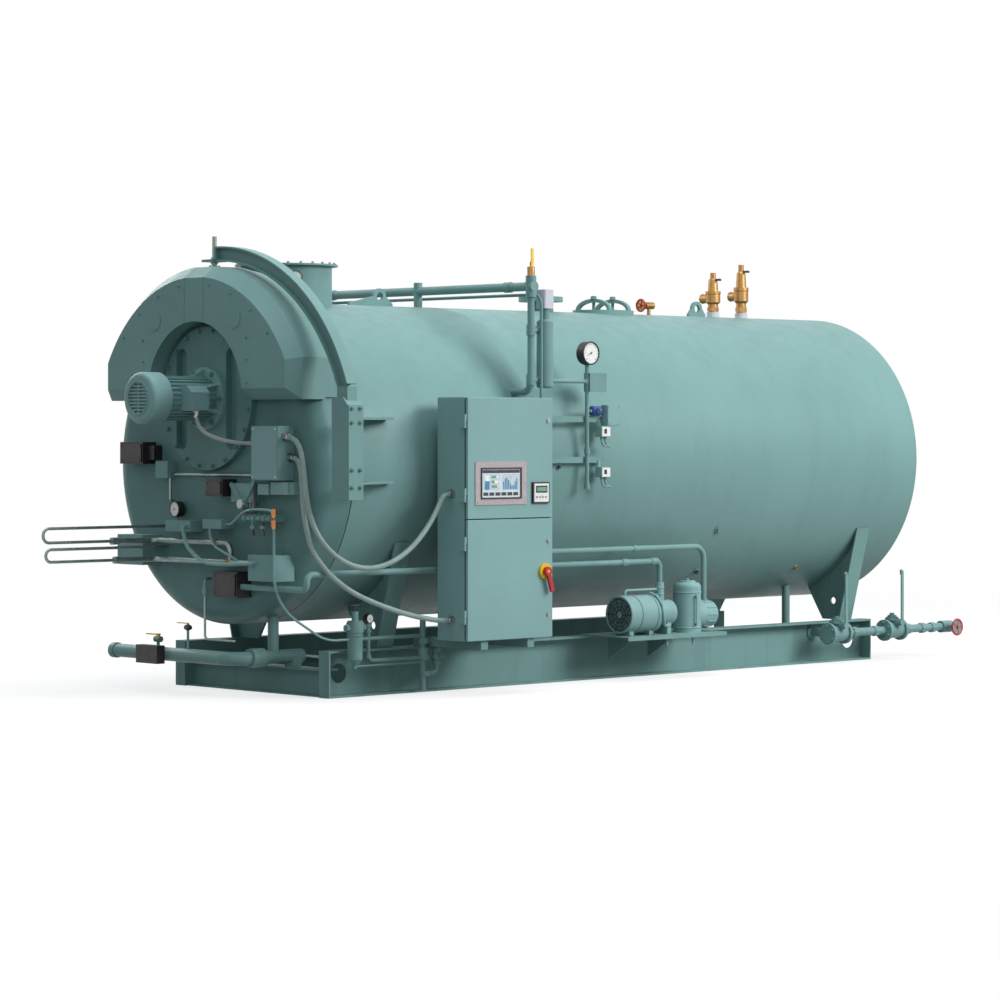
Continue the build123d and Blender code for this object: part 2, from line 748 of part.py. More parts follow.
def vessel():
    shell = drum(SHELL_R, SHELL_FRONT_X, SHELL_REAR_X) - drum(SHELL_BORE_R, SHELL_FRONT_X, SHELL_REAR_X)
    nozzle_x = along_shell(NOZZLE_SHARE)
    for x, radius in ((STACK_X, STACK_R - STACK_WALL), (nozzle_x, NOZZLE_BORE_R)):
        shell -= rod((x, 0, SHELL_AXIS_Z), (x, 0, SHELL_TOP + SHELL_WALL), radius + SHELL_HOLE_GAP)
    PARTS["boiler_shell"] = shell
    sheet_x = SHELL_FRONT_X + TUBE_SHEET_SETBACK
    PARTS["front_tube_sheet"] = drum(SHELL_BORE_R - SEAT, sheet_x, sheet_x + TUBE_SHEET_T)
    head_x = SHELL_REAR_X - REAR_HEAD_RECESS
    head = drum(SHELL_BORE_R - SEAT, head_x - REAR_HEAD_T, head_x)
    PARTS["rear_head"] = head + drum(REAR_PLUG_R, head_x, head_x + REAR_PLUG_T)
    PARTS["front_door"] = door_form(0) - drum(SHELL_R - DOOR_WALL, DOOR_FACE_X + DOOR_WALL, DOOR_REAR_X)
    gasket = drum(SHELL_R - GASKET_RECESS, DOOR_REAR_X, SHELL_FRONT_X)
    PARTS["door_gasket"] = gasket - drum(SHELL_BORE_R, DOOR_REAR_X, SHELL_FRONT_X)


# Fan shroud and blower


def shroud_outline(x, step):
    radius = door_y(SHROUD_ARC_R) + step
    side = door_y(SHROUD_SIDE) + step
    bottom = door_z(SHROUD_BOTTOM_RISE) - step
    angles = [math.asin(side / radius), math.asin(door_y(SHROUD_FLAT_HALF) / radius)]
    angles.insert(1, sum(angles) / 2)
    right = [(radius * math.sin(a), door_z(SHROUD_ARC_RISE) + radius * math.cos(a)) for a in angles]
    left = [(-y, z) for y, z in reversed(right)]
    edges = [
        Line((side, bottom), right[0]),
        ThreePointArc(*right),
        Line(right[2], left[0]),
        ThreePointArc(*left),
        Line(left[2], (-side, bottom)),
        Line((-side, bottom), (side, bottom)),
    ]
    return Plane.YZ.offset(x) * make_face(edges)


def shroud_arch(face_x, rear_x):
    radius = BURNER_PLATE_R + ARCH_CLEAR
    middle = door_z(ARCH_RISE)
    low = door_z(SHROUD_BOTTOM_RISE) - 2 * SHROUD_STEP
    arch = drum(radius, face_x, rear_x, 0, middle)
    return arch + block(face_x, rear_x, -radius, radius, low, middle)


def fan_shroud():
    face_x = DOOR_FACE_X - SHROUD_STAND
    bevel_x = face_x + SHROUD_BEVEL_DEPTH
    rear_x = DOOR_FACE_X + SHROUD_LAP
    front = shroud_outline(face_x, 0)
    back = shroud_outline(bevel_x, SHROUD_STEP)
    body = loft([front, back], ruled=True) + extrude(back, rear_x - bevel_x)
    band = shroud_outline(rear_x, SHROUD_STEP - SHROUD_BAND_INSET)
    body += extrude(band, SHROUD_BAND_LAP)
    body -= shroud_arch(face_x - OVERCUT, rear_x + SHROUD_BAND_LAP + OVERCUT)
    for side in (-1, 1):
        y = side * door_y(SHROUD_PORT_Y)
        body += drum(SHROUD_PORT_R, face_x - SHROUD_PORT_T, face_x, y, door_z(SHROUD_PORT_RISE))
        seam = side * door_y(SHROUD_FLAT_HALF)
        half = SHROUD_SEAM / 2
        groove_end = face_x + SHROUD_SEAM
        body -= block(face_x - OVERCUT, groove_end, seam - half, seam + half, FAN_AXIS_Z, SHELL_TOP + SHELL_R)
    PARTS["fan_shroud"] = on_door(body)


def burner_slot(side):
    y = side * BURNER_SLOT_Y
    half = BURNER_SLOT_W / 2
    x0 = MOTOR_FLANGE_X
    low = FAN_AXIS_Z - BURNER_SLOT_DROP + half
    high = FAN_AXIS_Z + BURNER_SLOT_RISE - half
    slot = block(x0, DOOR_FACE_X + OVERCUT, y - half, y + half, low, high)
    for z in (low, high):
        slot += drum(half, x0, DOOR_FACE_X + OVERCUT, y, z)
    return slot


def motor_rib(turn):
    # A gusset between the motor's flange and its body.
    reach = MOTOR_FLANGE_X - MOTOR_RIB_REACH
    crest = MOTOR_FLANGE_R - MOTOR_FIN
    points = ((MOTOR_FLANGE_X, 0), (MOTOR_FLANGE_X, crest), (reach, MOTOR_R + MOTOR_FIN), (reach, 0))
    face = make_face(Polyline(*points, close=True))
    rib = extrude(Plane.XZ.offset(-MOTOR_RIB_T / 2) * face, MOTOR_RIB_T)
    return Pos(0, 0, FAN_AXIS_Z) * Rot(turn, 0, 0) * rib


def motor_body():
    body = drum(MOTOR_FLANGE_R, MOTOR_FLANGE_X, MOTOR_FLANGE_X + MOTOR_FLANGE_T, 0, FAN_AXIS_Z)
    core = drum(MOTOR_R, MOTOR_END_X, MOTOR_FLANGE_X, 0, FAN_AXIS_Z)
    body += core
    fin = Pos((MOTOR_END_X + MOTOR_FLANGE_X) / 2, 0, MOTOR_R) * Box(MOTOR_LENGTH, MOTOR_FIN_T, 2 * MOTOR_FIN)
    for i in range(MOTOR_FINS):
        body += Pos(0, 0, FAN_AXIS_Z) * Rot(i * 360 / MOTOR_FINS, 0, 0) * fin
    for i in range(MOTOR_RIBS):
        body += motor_rib(i * 360 / MOTOR_RIBS)
    return body - (terminal_box_form(0) - core)


def terminal_box_form(depth):
    half_x = TERMINAL_BOX_L / 2
    half_z = TERMINAL_BOX_H / 2
    return block(TERMINAL_BOX_X - half_x, TERMINAL_BOX_X + half_x, TERMINAL_BOX_Y - depth, 0,
                 FAN_AXIS_Z - half_z, FAN_AXIS_Z + half_z)


def fan_cover():
    face_x = MOTOR_END_X - FAN_COVER_LENGTH
    cover = drum(FAN_COVER_R, face_x, MOTOR_END_X, 0, FAN_AXIS_Z)
    cover = fillet(cover.edges().group_by(Axis.X)[0], FAN_COVER_EDGE)
    ring = drum(FAN_GRILLE_R + FAN_COVER_BEAD, face_x - FAN_COVER_BEAD, face_x, 0, FAN_AXIS_Z)
    cover += ring - drum(FAN_GRILLE_R, face_x - FAN_COVER_BEAD, face_x, 0, FAN_AXIS_Z)
    for row in range(FAN_SLOT_ROWS):
        rise = (row - (FAN_SLOT_ROWS - 1) / 2) * FAN_SLOT_PITCH
        reach = math.sqrt(FAN_GRILLE_R**2 - (abs(rise) + FAN_SLOT_H / 2) ** 2) - FAN_SLOT_BAR / 2
        low = FAN_AXIS_Z + rise - FAN_SLOT_H / 2
        for side in (-1, 1):
            y = side * FAN_SLOT_BAR / 2
            cover -= block(face_x, face_x + FAN_SLOT_DEPTH, y, y + side * reach, low, low + FAN_SLOT_H)
    return cover


def blower():
    plate = drum(BURNER_PLATE_R, DOOR_FACE_X - BURNER_PLATE_T, DOOR_FACE_X, 0, FAN_AXIS_Z)
    PARTS["burner_plate"] = plate - burner_slot(-1) - burner_slot(1)
    PARTS["motor_body"] = motor_body()
    box = terminal_box_form(TERMINAL_BOX_D)
    box = chamfer(box.edges().filter_by(Axis.X).group_by(Axis.Y)[0].group_by(Axis.Z)[-1], TERMINAL_BOX_CHAMFER)
    PARTS["motor_terminal_box"] = box - drum(MOTOR_R + SEAT, MOTOR_END_X, MOTOR_FLANGE_X, 0, FAN_AXIS_Z)
    PARTS["motor_fan_cover"] = fan_cover()


# Davit


def davit_section(x):
    inner = DAVIT_R - DAVIT_DEPTH
    web = Pos(0, inner + DAVIT_DEPTH / 2) * Rectangle(DAVIT_WEB_T, DAVIT_DEPTH)
    flange = Rectangle(DAVIT_WIDTH, DAVIT_FLANGE_T)
    low = Pos(0, inner + DAVIT_FLANGE_T / 2) * flange
    high = Pos(0, inner + DAVIT_DEPTH - DAVIT_FLANGE_T / 2) * flange
    return Plane((x, 0, SHELL_AXIS_Z), x_dir=(1, 0, 0), z_dir=(0, -1, 0)) * (web + low + high)


def post_bracket(start_x, z):
    # A level plate from the post back to the side of the shell, blunt at its rear end.
    end_x = start_x + POST_BRACKET_LENGTH
    root_x = SHELL_FRONT_X + POST_BRACKET_ROOT
    post_in = -POST_IN_Y
    points = ((start_x, post_in - POST_DEPTH), (end_x, -SHELL_R - POST_BRACKET_END), (end_x, -SHELL_BORE_R),
              (root_x, -SHELL_BORE_R), (root_x, post_in), (start_x, post_in))
    face = make_face(Polyline(*points, close=True))
    return on_shell(extrude(Plane.XY.offset(z) * face, POST_BRACKET_T))


def davit_post(x):
    x0 = x - POST_WIDTH_X / 2
    x1 = x + POST_WIDTH_X / 2
    y_in = -POST_IN_Y
    y_out = y_in - POST_DEPTH
    low = SHELL_AXIS_Z - POST_DROP
    high = SHELL_AXIS_Z + POST_RISE
    post = block(x0, x1, y_out, y_in, low, high)
    post = chamfer(post.edges().group_by(Axis.Z)[-1].group_by(Axis.Y)[0], POST_CHAMFER)
    post += block(x0, x1, y_out - POST_PLATE_T, y_out, low, high - POST_CHAMFER)
    return post


def davit_hanger(x, y, tip_z):
    arc_r = door_y(SHROUD_ARC_R) + SHROUD_STEP
    base_z = door_z(SHROUD_ARC_RISE) + math.sqrt(arc_r**2 - door_y(SHROUD_FLAT_HALF) ** 2)
    top_z = SHELL_AXIS_Z + DAVIT_R + ROD_OVER
    hanger = rod((x, y, base_z), (x, y, top_z), ROD_R)
    hanger += rod((x, y, base_z), (x, y, base_z + TIP_PLATE_T), 2.5 * ROD_R)
    for z in (tip_z - TIP_PLATE_T, tip_z + TIP_PLATE_T):
        hanger += extrude(Plane((x, y, z)) * RegularPolygon(1.7 * ROD_R, 6), TIP_PLATE_T)
    return hanger


def davit():
    x = DOOR_FACE_X + DAVIT_SETBACK
    tip_z = SHELL_AXIS_Z + DAVIT_R - DAVIT_DEPTH
    middle = DAVIT_R - DAVIT_DEPTH / 2
    angle = math.asin(POST_Y / middle)
    arm = revolve(davit_section(x), Axis((0, 0, SHELL_AXIS_Z), (1, 0, 0)), math.degrees(angle))
    rod_y = TIP_PLATE_R
    tip = block(x - TIP_PLATE_R, x + TIP_PLATE_R, 0, 2 * TIP_PLATE_R, tip_z, tip_z + TIP_PLATE_T)
    tip -= rod((x, rod_y, tip_z), (x, rod_y, tip_z + TIP_PLATE_T), ROD_R + ROD_CLEAR)
    half = DAVIT_WIDTH / 2
    end = block(x - half, x + half, 0, TIP_PLATE_T, tip_z, SHELL_AXIS_Z + DAVIT_R)
    post = davit_post(x)
    leg = block(x - half, x + half, -POST_Y - DAVIT_DEPTH / 2, -POST_Y + DAVIT_DEPTH / 2,
                SHELL_AXIS_Z + POST_RISE - POST_CHAMFER, SHELL_AXIS_Z + middle * math.cos(angle))
    PARTS["davit_arm"] = arm + tip + end + (leg - post)
    for rise in (POST_BRACKET_LOW, POST_BRACKET_HIGH):
        post += post_bracket(x + POST_WIDTH_X / 2, SHELL_AXIS_Z + rise)
    PARTS["davit_post"] = post
    PARTS["davit_rod"] = davit_hanger(x, rod_y, tip_z)


# Fittings on top of the shell


def lug(x, length, eye_x, eye_rise):
    # A plate along the top of the shell that rises to a round eye.
    half = length / 2
    low = SHELL_TOP - LUG_T
    edge = SHELL_TOP + LUG_EDGE
    eye_z = SHELL_TOP + eye_rise
    outline = Polyline((x - half, low), (x + half, low), (x + half, edge), (eye_x + LUG_EYE_R, eye_z),
                       (eye_x - LUG_EYE_R, eye_z), (x - half, edge), close=True)
    plate = extrude(Plane.XZ.offset(-LUG_T / 2) * make_face(outline), LUG_T)
    plate += rod((eye_x, -LUG_T / 2, eye_z), (eye_x, LUG_T / 2, eye_z), LUG_EYE_R)
    return on_shell(plate - rod((eye_x, -LUG_T, eye_z), (eye_x, LUG_T, eye_z), LUG_HOLE_R))


def stack():
    low = SHELL_AXIS_Z + shell_rise(STACK_FLANGE_R)
    tube = rod((STACK_X, 0, low), (STACK_X, 0, STACK_TOP), STACK_R)
    tube += rod((STACK_X, 0, STACK_TOP - STACK_FLANGE_T), (STACK_X, 0, STACK_TOP), STACK_FLANGE_R)
    tube -= rod((STACK_X, 0, low - OVERCUT), (STACK_X, 0, STACK_TOP + OVERCUT), STACK_R - STACK_WALL)
    PARTS["stack_outlet"] = on_shell(tube)
    turn = math.radians(DIAL_TURN)
    z = STACK_TOP - DIAL_DROP

    def out(reach):
        return (STACK_X - reach * math.sin(turn), -reach * math.cos(turn), z)

    case = STACK_R + DIAL_STEM
    dial = rod(out(STACK_R + SEAT), out(case), DIAL_STEM_R) + rod(out(case), out(case + DIAL_DEPTH), DIAL_R)
    PARTS["dial_gauges"] = [dial]


def steam_nozzle():
    x = along_shell(NOZZLE_SHARE)
    top = SHELL_TOP + NOZZLE_RISE
    neck = rod((x, 0, SHELL_AXIS_Z + SHELL_BORE_R), (x, 0, top), NOZZLE_R)
    flange = rod((x, 0, top - NOZZLE_FLANGE_T), (x, 0, top), NOZZLE_FLANGE_R)
    body = neck + flange - rod((x, 0, SHELL_AXIS_Z), (x, 0, top + OVERCUT), NOZZLE_BORE_R)
    for i in range(NOZZLE_HOLES):
        a = 2 * math.pi * (i + 0.5) / NOZZLE_HOLES
        hole_x = x + NOZZLE_BOLT_CIRCLE_R * math.cos(a)
        y = NOZZLE_BOLT_CIRCLE_R * math.sin(a)
        body -= rod((hole_x, y, top - NOZZLE_FLANGE_T - OVERCUT), (hole_x, y, top + OVERCUT), NOZZLE_HOLE_R)
    PARTS["steam_nozzle"] = on_shell(body)


def yoke(x, top):
    half = Ellipse(YOKE_R, YOKE_H) - Ellipse(YOKE_R - YOKE_W, YOKE_H - YOKE_W)
    half -= Pos(0, -YOKE_H) * Rectangle(2 * YOKE_R, 2 * YOKE_H)
    arch = Pos(0, 0, top) * extrude(Plane.YZ.offset(x - YOKE_T / 2) * half, YOKE_T)
    return arch + rod((x, 0, top), (x, 0, top + YOKE_H + YOKE_BOLT_OVER), YOKE_BOLT_R)


def manway():
    x = along_shell(MANWAY_SHARE)
    top = SHELL_TOP + MANWAY_RISE
    low = SHELL_AXIS_Z + shell_rise(MANWAY_HALF_Y)
    outer = Pos(x, 0, low) * extrude(Ellipse(MANWAY_HALF_X, MANWAY_HALF_Y), top - low)
    inner = Ellipse(MANWAY_HALF_X - MANWAY_RING_W, MANWAY_HALF_Y - MANWAY_RING_W)
    cover = Pos(x, 0, top - MANWAY_COVER_T) * extrude(inner, MANWAY_COVER_T)
    PARTS["manway_ring"] = on_shell(outer - cover)
    for side in (-1, 1):
        cover += yoke(x + side * YOKE_PITCH / 2, top)
    PARTS["manway_cover"] = cover


def safety_valve(x, tall):
    base = SHELL_TOP + VALVE_BASE_RISE
    r = VALVE_BASE_R
    body = lathe((x, 0, base), [(r * wide, tall * rise) for wide, rise in VALVE_PROFILE])
    z = base + 0.35 * tall
    return body + rod((x, 0, z), (x, 2.1 * r, z), 0.72 * r)


def vent_valve():
    x = along_shell(VENT_SHARE)
    z = SHELL_TOP + VENT_RISE
    vent = rod((x, 0, SHELL_TOP - VENT_STEM_R), (x, 0, z), VENT_STEM_R)
    vent += drum(VENT_BODY_R, x - VENT_BODY_HALF, x + VENT_BODY_HALF, 0, z)
    vent += drum(VENT_STEM_R / 2, x - VENT_WHEEL_REACH, x, 0, z)
    return on_shell(vent + drum(VENT_WHEEL_R, x - VENT_WHEEL_REACH, x - VENT_WHEEL_REACH + VENT_WHEEL_T, 0, z))


def top_fittings():
    front_x = along_shell(FRONT_LUG_SHARE)
    rear_x = along_shell(REAR_LUG_SHARE)
    front = lug(front_x, FRONT_LUG_LENGTH, front_x + FRONT_LUG_EYE_SHIFT, FRONT_LUG_EYE_RISE)
    PARTS["lifting_lugs"] = [front, lug(rear_x, REAR_LUG_LENGTH, rear_x, REAR_LUG_EYE_RISE)]
    stack()
    steam_nozzle()
    manway()
    places = (along_shell(VALVE_FRONT_SHARE), along_shell(VALVE_REAR_SHARE))
    low = SHELL_AXIS_Z + shell_rise(2 * VALVE_BASE_R)
    top = SHELL_TOP + VALVE_BASE_RISE
    PARTS["safety_valve_bases"] = [on_shell(rod((x, 0, low), (x, 0, top), VALVE_BASE_R)) for x in places]
    PARTS["safety_valves"] = [safety_valve(x, tall) for x, tall in zip(places, (VALVE_FRONT_H, VALVE_REAR_H))]
    PARTS["brass_valves"] = [vent_valve()]


# Steam header, water columns and gauge manifold


def steam_header():
    header = rod((HEADER_X, -COLUMN_Y, HEADER_Z), (HEADER_X, COLUMN_Y, HEADER_Z), HEADER_R)
    header += rod((HEADER_X, 0, SHELL_TOP - HEADER_R), (HEADER_X, 0, HEADER_Z + 2 * HEADER_R), HEADER_R)
    for side in (-1, 1):
        y = side * COLUMN_Y
        header += rod((HEADER_X, y - FITTING_R, HEADER_Z), (HEADER_X, y + FITTING_R, HEADER_Z), FITTING_R)
        low = HEADER_Z - 2 * FITTING_R
        header += rod((HEADER_X, y, low), (HEADER_X, y, low + 4 * FITTING_R), FITTING_R)
        union = side * (COLUMN_Y - UNION_INSET)
        header += rod((HEADER_X, union, HEADER_Z), (HEADER_X, union - side * UNION_L, HEADER_Z), FITTING_R)
    PARTS["steam_header"] = [on_shell(header), on_shell(bridge_tube())]


def bridge_tube():
    # A small tube beside the header that comes down on both sides into the shell.
    x = HEADER_X + BRIDGE_SHIFT
    high = HEADER_Z - BRIDGE_DROP
    low = SHELL_TOP - COLUMN_DROP - BRIDGE_LOWER
    out = COLUMN_Y + BRIDGE_OUT
    root = shell_half(low) - 2 * BRIDGE_R
    route = [(x, -root, low), (x, -out, low), (x, -out, high), (x, out, high), (x, out, low), (x, root, low)]
    return pipe(route, BRIDGE_R, BRIDGE_BEND)


def water_column(side):
    y = side * COLUMN_Y
    low = SHELL_TOP - COLUMN_DROP
    root = side * COLUMN_REACH_SHARE * SHELL_R
    route = [(HEADER_X, y, HEADER_Z - 2 * FITTING_R), (HEADER_X, y, low), (HEADER_X, root, low)]
    column = pipe(route, COLUMN_R, 3 * COLUMN_R)
    for drop in (CUTOFF_TAP_HIGH_DROP, CUTOFF_TAP_LOW_DROP):
        z = SHELL_TOP - drop
        column += rod((HEADER_X, y, z - FITTING_R), (HEADER_X, y, z + FITTING_R), 1.3 * COLUMN_R)
        column += rod((HEADER_X, y, z), (CUTOFF_X - CUTOFF_R - SEAT, y, z), TAP_R)
    return on_shell(column)


def cutoff_chamber(side):
    y = side * COLUMN_Y
    high = SHELL_TOP - CUTOFF_HIGH_DROP
    chamber = rod((CUTOFF_X, y, SHELL_TOP - CUTOFF_LOW_DROP), (CUTOFF_X, y, high), CUTOFF_R)
    chamber = fillet(chamber.edges().filter_by(GeomType.CIRCLE), CUTOFF_DOME)
    neck_top = SHELL_TOP - CUTOFF_HEAD_DROP
    return chamber + rod((CUTOFF_X, y, high - CUTOFF_DOME), (CUTOFF_X, y, neck_top), CUTOFF_NECK_R)


def water_columns():
    sides = (-1, 1)
    steam_header()
    PARTS["water_columns"] = [water_column(side) for side in sides] + [cutoff_chamber(side) for side in sides]
    half = CUTOFF_HEAD_WIDTH / 2
    low = SHELL_TOP - CUTOFF_HEAD_DROP
    heads = []
    for side in sides:
        y = side * COLUMN_Y
        head = block(CUTOFF_X - half, CUTOFF_X + half, y - half, y + half, low, low + CUTOFF_HEAD_HEIGHT)
        heads.append(fillet(head.edges().filter_by(Axis.Z), half / 3))
    PARTS["cutoff_heads"] = heads
    z = HEADER_Z + 2 * FITTING_R
    valve = rod((HEADER_X, -COLUMN_Y, z), (HEADER_X, -COLUMN_Y, z + BALL_VALVE_H), BALL_VALVE_R)
    z += BALL_VALVE_H
    valve += rod((HEADER_X, -COLUMN_Y, z), (HEADER_X, -COLUMN_Y, z + BALL_STEM_H), BALL_STEM_R)
    PARTS["brass_valves"].append(valve)


def gauge_manifold():
    x = MANIFOLD_X
    y = -COLUMN_Y
    tap_z = SHELL_TOP - MANIFOLD_TAP_DROP
    gauge_z = SHELL_TOP - GAUGE_DROP
    low = CAB_TOP - MANIFOLD_DROP
    stand = rod((x, y, low), (x, y, gauge_z - GAUGE_R - SEAT), MANIFOLD_R)
    stand += rod((CUTOFF_X + CUTOFF_R + SEAT, y, tap_z), (x, y, tap_z), MANIFOLD_R)
    for z in (low + MANIFOLD_TEE_LOW, low + MANIFOLD_TEE_HIGH, tap_z):
        stand += rod((x, y, z - 1.5 * MANIFOLD_R), (x, y, z + 1.5 * MANIFOLD_R), 1.4 * MANIFOLD_R)
    box_z = SHELL_TOP - SWITCH_BOX_DROP
    half = SWITCH_BOX_H / 2
    depth = SWITCH_BOX_DEPTH / 2
    stand += block(x, x + SWITCH_BOX_W, y - depth, y + depth, box_z - half, box_z + half)
    PARTS["gauge_manifold"] = stand
    case = rod((x, y + GAUGE_DEPTH / 2, gauge_z), (x, y - GAUGE_DEPTH / 2, gauge_z), GAUGE_R)
    PARTS["dial_gauges"].append(fillet(case.edges().group_by(Axis.Y)[-1], GAUGE_DEPTH / 4))
    pressure_controls(y + MANIFOLD_R + SEAT)


def pressure_controls(bar_y):
    front = bar_y - CONTROL_DEPTH
    bars = []
    controls = []
    for drop, reach in ((BAR_HIGH_DROP, BAR_HIGH_REACH), (BAR_LOW_DROP, BAR_LOW_REACH)):
        z = CAB_TOP - drop
        bars.append(block(CAB_REAR_X, MANIFOLD_X + reach, bar_y, bar_y + BAR_T, z - BAR_H / 2, z + BAR_H / 2))
        x = MANIFOLD_X + SENSOR_REACH
        high = z - BAR_H / 2 - SENSOR_HANG
        sensor = block(x - SENSOR_W / 2, x + SENSOR_W / 2, front, bar_y, high - SENSOR_H, high)
        strip_x = x - SENSOR_STRIP_W / 2
        strip = block(strip_x - SENSOR_STRIP_W / 2, strip_x + SENSOR_STRIP_W / 2, bar_y - BAR_T, bar_y, high, z)
        controls.append(sensor + strip)
    PARTS["control_bars"] = bars
    end = MANIFOLD_X + BAR_HIGH_REACH
    z = CAB_TOP - BAR_HIGH_DROP
    controls.append(block(end - CONTROL_W, end, front, bar_y, z - CONTROL_BELOW, z + CONTROL_ABOVE))
    PARTS["pressure_controls"] = controls


# Control cabinet


def hinge_heights(low, high):
    return (low + HINGE_INSET, high - HINGE_INSET - 2 * HINGE_KNUCKLE)


def cabinet_door(low, high):
    edge_x = CAB_FRONT_X + RUN
    panel = block(edge_x, CAB_REAR_X - RUN, CAB_FRONT_Y, CAB_FRONT_Y + CAB_DOOR_T, low, high)
    panel = fillet(panel.edges().group_by(Axis.Y)[0], CAB_DOOR_T / 5)
    half = CAB_SHEET / 2
    for z in hinge_heights(low, high):
        z += HINGE_KNUCKLE + SEAT
        top = z + HINGE_KNUCKLE
        knuckle = rod((HINGE_X, HINGE_Y, z), (HINGE_X, HINGE_Y, top), HINGE_R)
        knuckle += block(HINGE_X, edge_x, HINGE_Y - half, HINGE_Y + half, z, top)
        bore = rod((HINGE_X, HINGE_Y, z - OVERCUT), (HINGE_X, HINGE_Y, top + OVERCUT), HINGE_PIN_R + SEAT)
        panel += knuckle - bore
    return panel


def cabinet_box(front, doors):
    body = block(CAB_FRONT_X, CAB_REAR_X, front, CAB_BACK_Y, CAB_BOTTOM, CAB_TOP)
    body -= block(CAB_FRONT_X + CAB_SHEET, CAB_REAR_X - CAB_SHEET, front - OVERCUT, CAB_BACK_Y - CAB_SHEET,
                  CAB_BOTTOM + CAB_SHEET, CAB_TOP - CAB_SHEET)
    for low, high in doors:
        for z in hinge_heights(low, high):
            body += rod((HINGE_X, HINGE_Y, z), (HINGE_X, HINGE_Y, z + HINGE_KNUCKLE), HINGE_R)
            body += rod((HINGE_X, HINGE_Y, z), (HINGE_X, HINGE_Y, z + 2 * HINGE_KNUCKLE), HINGE_PIN_R)
            body += block(HINGE_X, CAB_FRONT_X, HINGE_Y, front + 2 * CAB_DOOR_T, z, z + HINGE_KNUCKLE)
    return body


def door_plate(x, z, wide, tall, near, far):
    return block(x - wide / 2, x + wide / 2, near, far, z - tall / 2, z + tall / 2)


def cabinet():
    front = CAB_FRONT_Y + CAB_DOOR_T + RUN
    doors = ((CAB_BOTTOM, CAB_SEAM_Z - RUN / 2), (CAB_SEAM_Z + RUN / 2, CAB_TOP))
    PARTS["cabinet_body"] = cabinet_box(front, doors)
    PARTS["cabinet_lower_door"] = cabinet_door(*doors[0])
    PARTS["cabinet_upper_door"] = cabinet_door(*doors[1])
    starts = (CAB_FRONT_X + ARM_INSET, CAB_REAR_X - ARM_INSET - ARM_WIDTH)
    PARTS["cabinet_arms"] = [block(x, x + ARM_WIDTH, front, -RAIL_IN, RAIL_DEPTH, CAB_BOTTOM) for x in starts]
    x = CAB_FRONT_X + SCREEN_PANEL_SIDE + SCREEN_PANEL_W / 2
    z = CAB_SEAM_Z + SCREEN_PANEL_ABOVE_SEAM + SCREEN_PANEL_H / 2
    face = CAB_FRONT_Y - SCREEN_PANEL_T
    plate = door_plate(x, z, SCREEN_PANEL_W, SCREEN_PANEL_H, face, CAB_FRONT_Y)
    PARTS["screen_panel"] = plate - door_plate(x, z, SCREEN_W, SCREEN_H, face, CAB_FRONT_Y - SCREEN_PANEL_T / 2)
    x = CAB_REAR_X - MODULE_SIDE - MODULE_W / 2
    z = CAB_SEAM_Z + MODULE_ABOVE_SEAM + MODULE_H / 2
    PARTS["controller_module"] = door_plate(x, z, MODULE_W, MODULE_H, CAB_FRONT_Y - MODULE_T, CAB_FRONT_Y)
    disconnect()


def disconnect():
    x = CAB_REAR_X - DISCONNECT_SIDE
    z = CAB_SEAM_Z - DISCONNECT_BELOW_SEAM
    face = CAB_FRONT_Y - DISCONNECT_T
    shaft_end = face - HANDLE_T
    base = rod((x, CAB_FRONT_Y, z), (x, face, z), DISCONNECT_R)
    PARTS["disconnect_base"] = base + rod((x, face, z), (x, shaft_end, z), DISCONNECT_SHAFT_R)
    hub = rod((x, face - SEAT, z), (x, shaft_end, z), HANDLE_WIDTH)
    middle = (face - RUN + shaft_end) / 2
    grip = Pos(0, middle, -HANDLE_LENGTH / 2) * Box(HANDLE_WIDTH, HANDLE_T - RUN, HANDLE_LENGTH)
    handle = hub + Pos(x, 0, z) * Rot(0, -HANDLE_LEAN, 0) * grip
    bore = rod((x, face, z), (x, shaft_end - OVERCUT, z), DISCONNECT_SHAFT_R + SEAT)
    PARTS["disconnect_handle"] = handle - bore


# Air compressor set and its pipes


def compressor_shelf():
    out_y = PUMP_Y - SHELF_OVER
    shelf = block(-SHELF_FRONT, SHELF_REAR, out_y, -RAIL_IN, RAIL_DEPTH, SHELF_TOP)
    shelf += block(-SHELF_FRONT, SHELF_REAR, out_y, out_y + SHELF_T, SHELF_TOP - SHELF_LIP, SHELF_TOP)
    low = RAIL_DEPTH - GUSSET_DEPTH
    points = ((-RAIL_OUT, RAIL_DEPTH), (out_y + GUSSET_INSET, RAIL_DEPTH), (-RAIL_OUT, low))
    outline = Polyline(*points, close=True)
    for x in (-GUSSET_FRONT, GUSSET_REAR):
        shelf += extrude(Plane.YZ.offset(x) * make_face(outline), GUSSET_T)
    PARTS["compressor_shelf"] = shelf


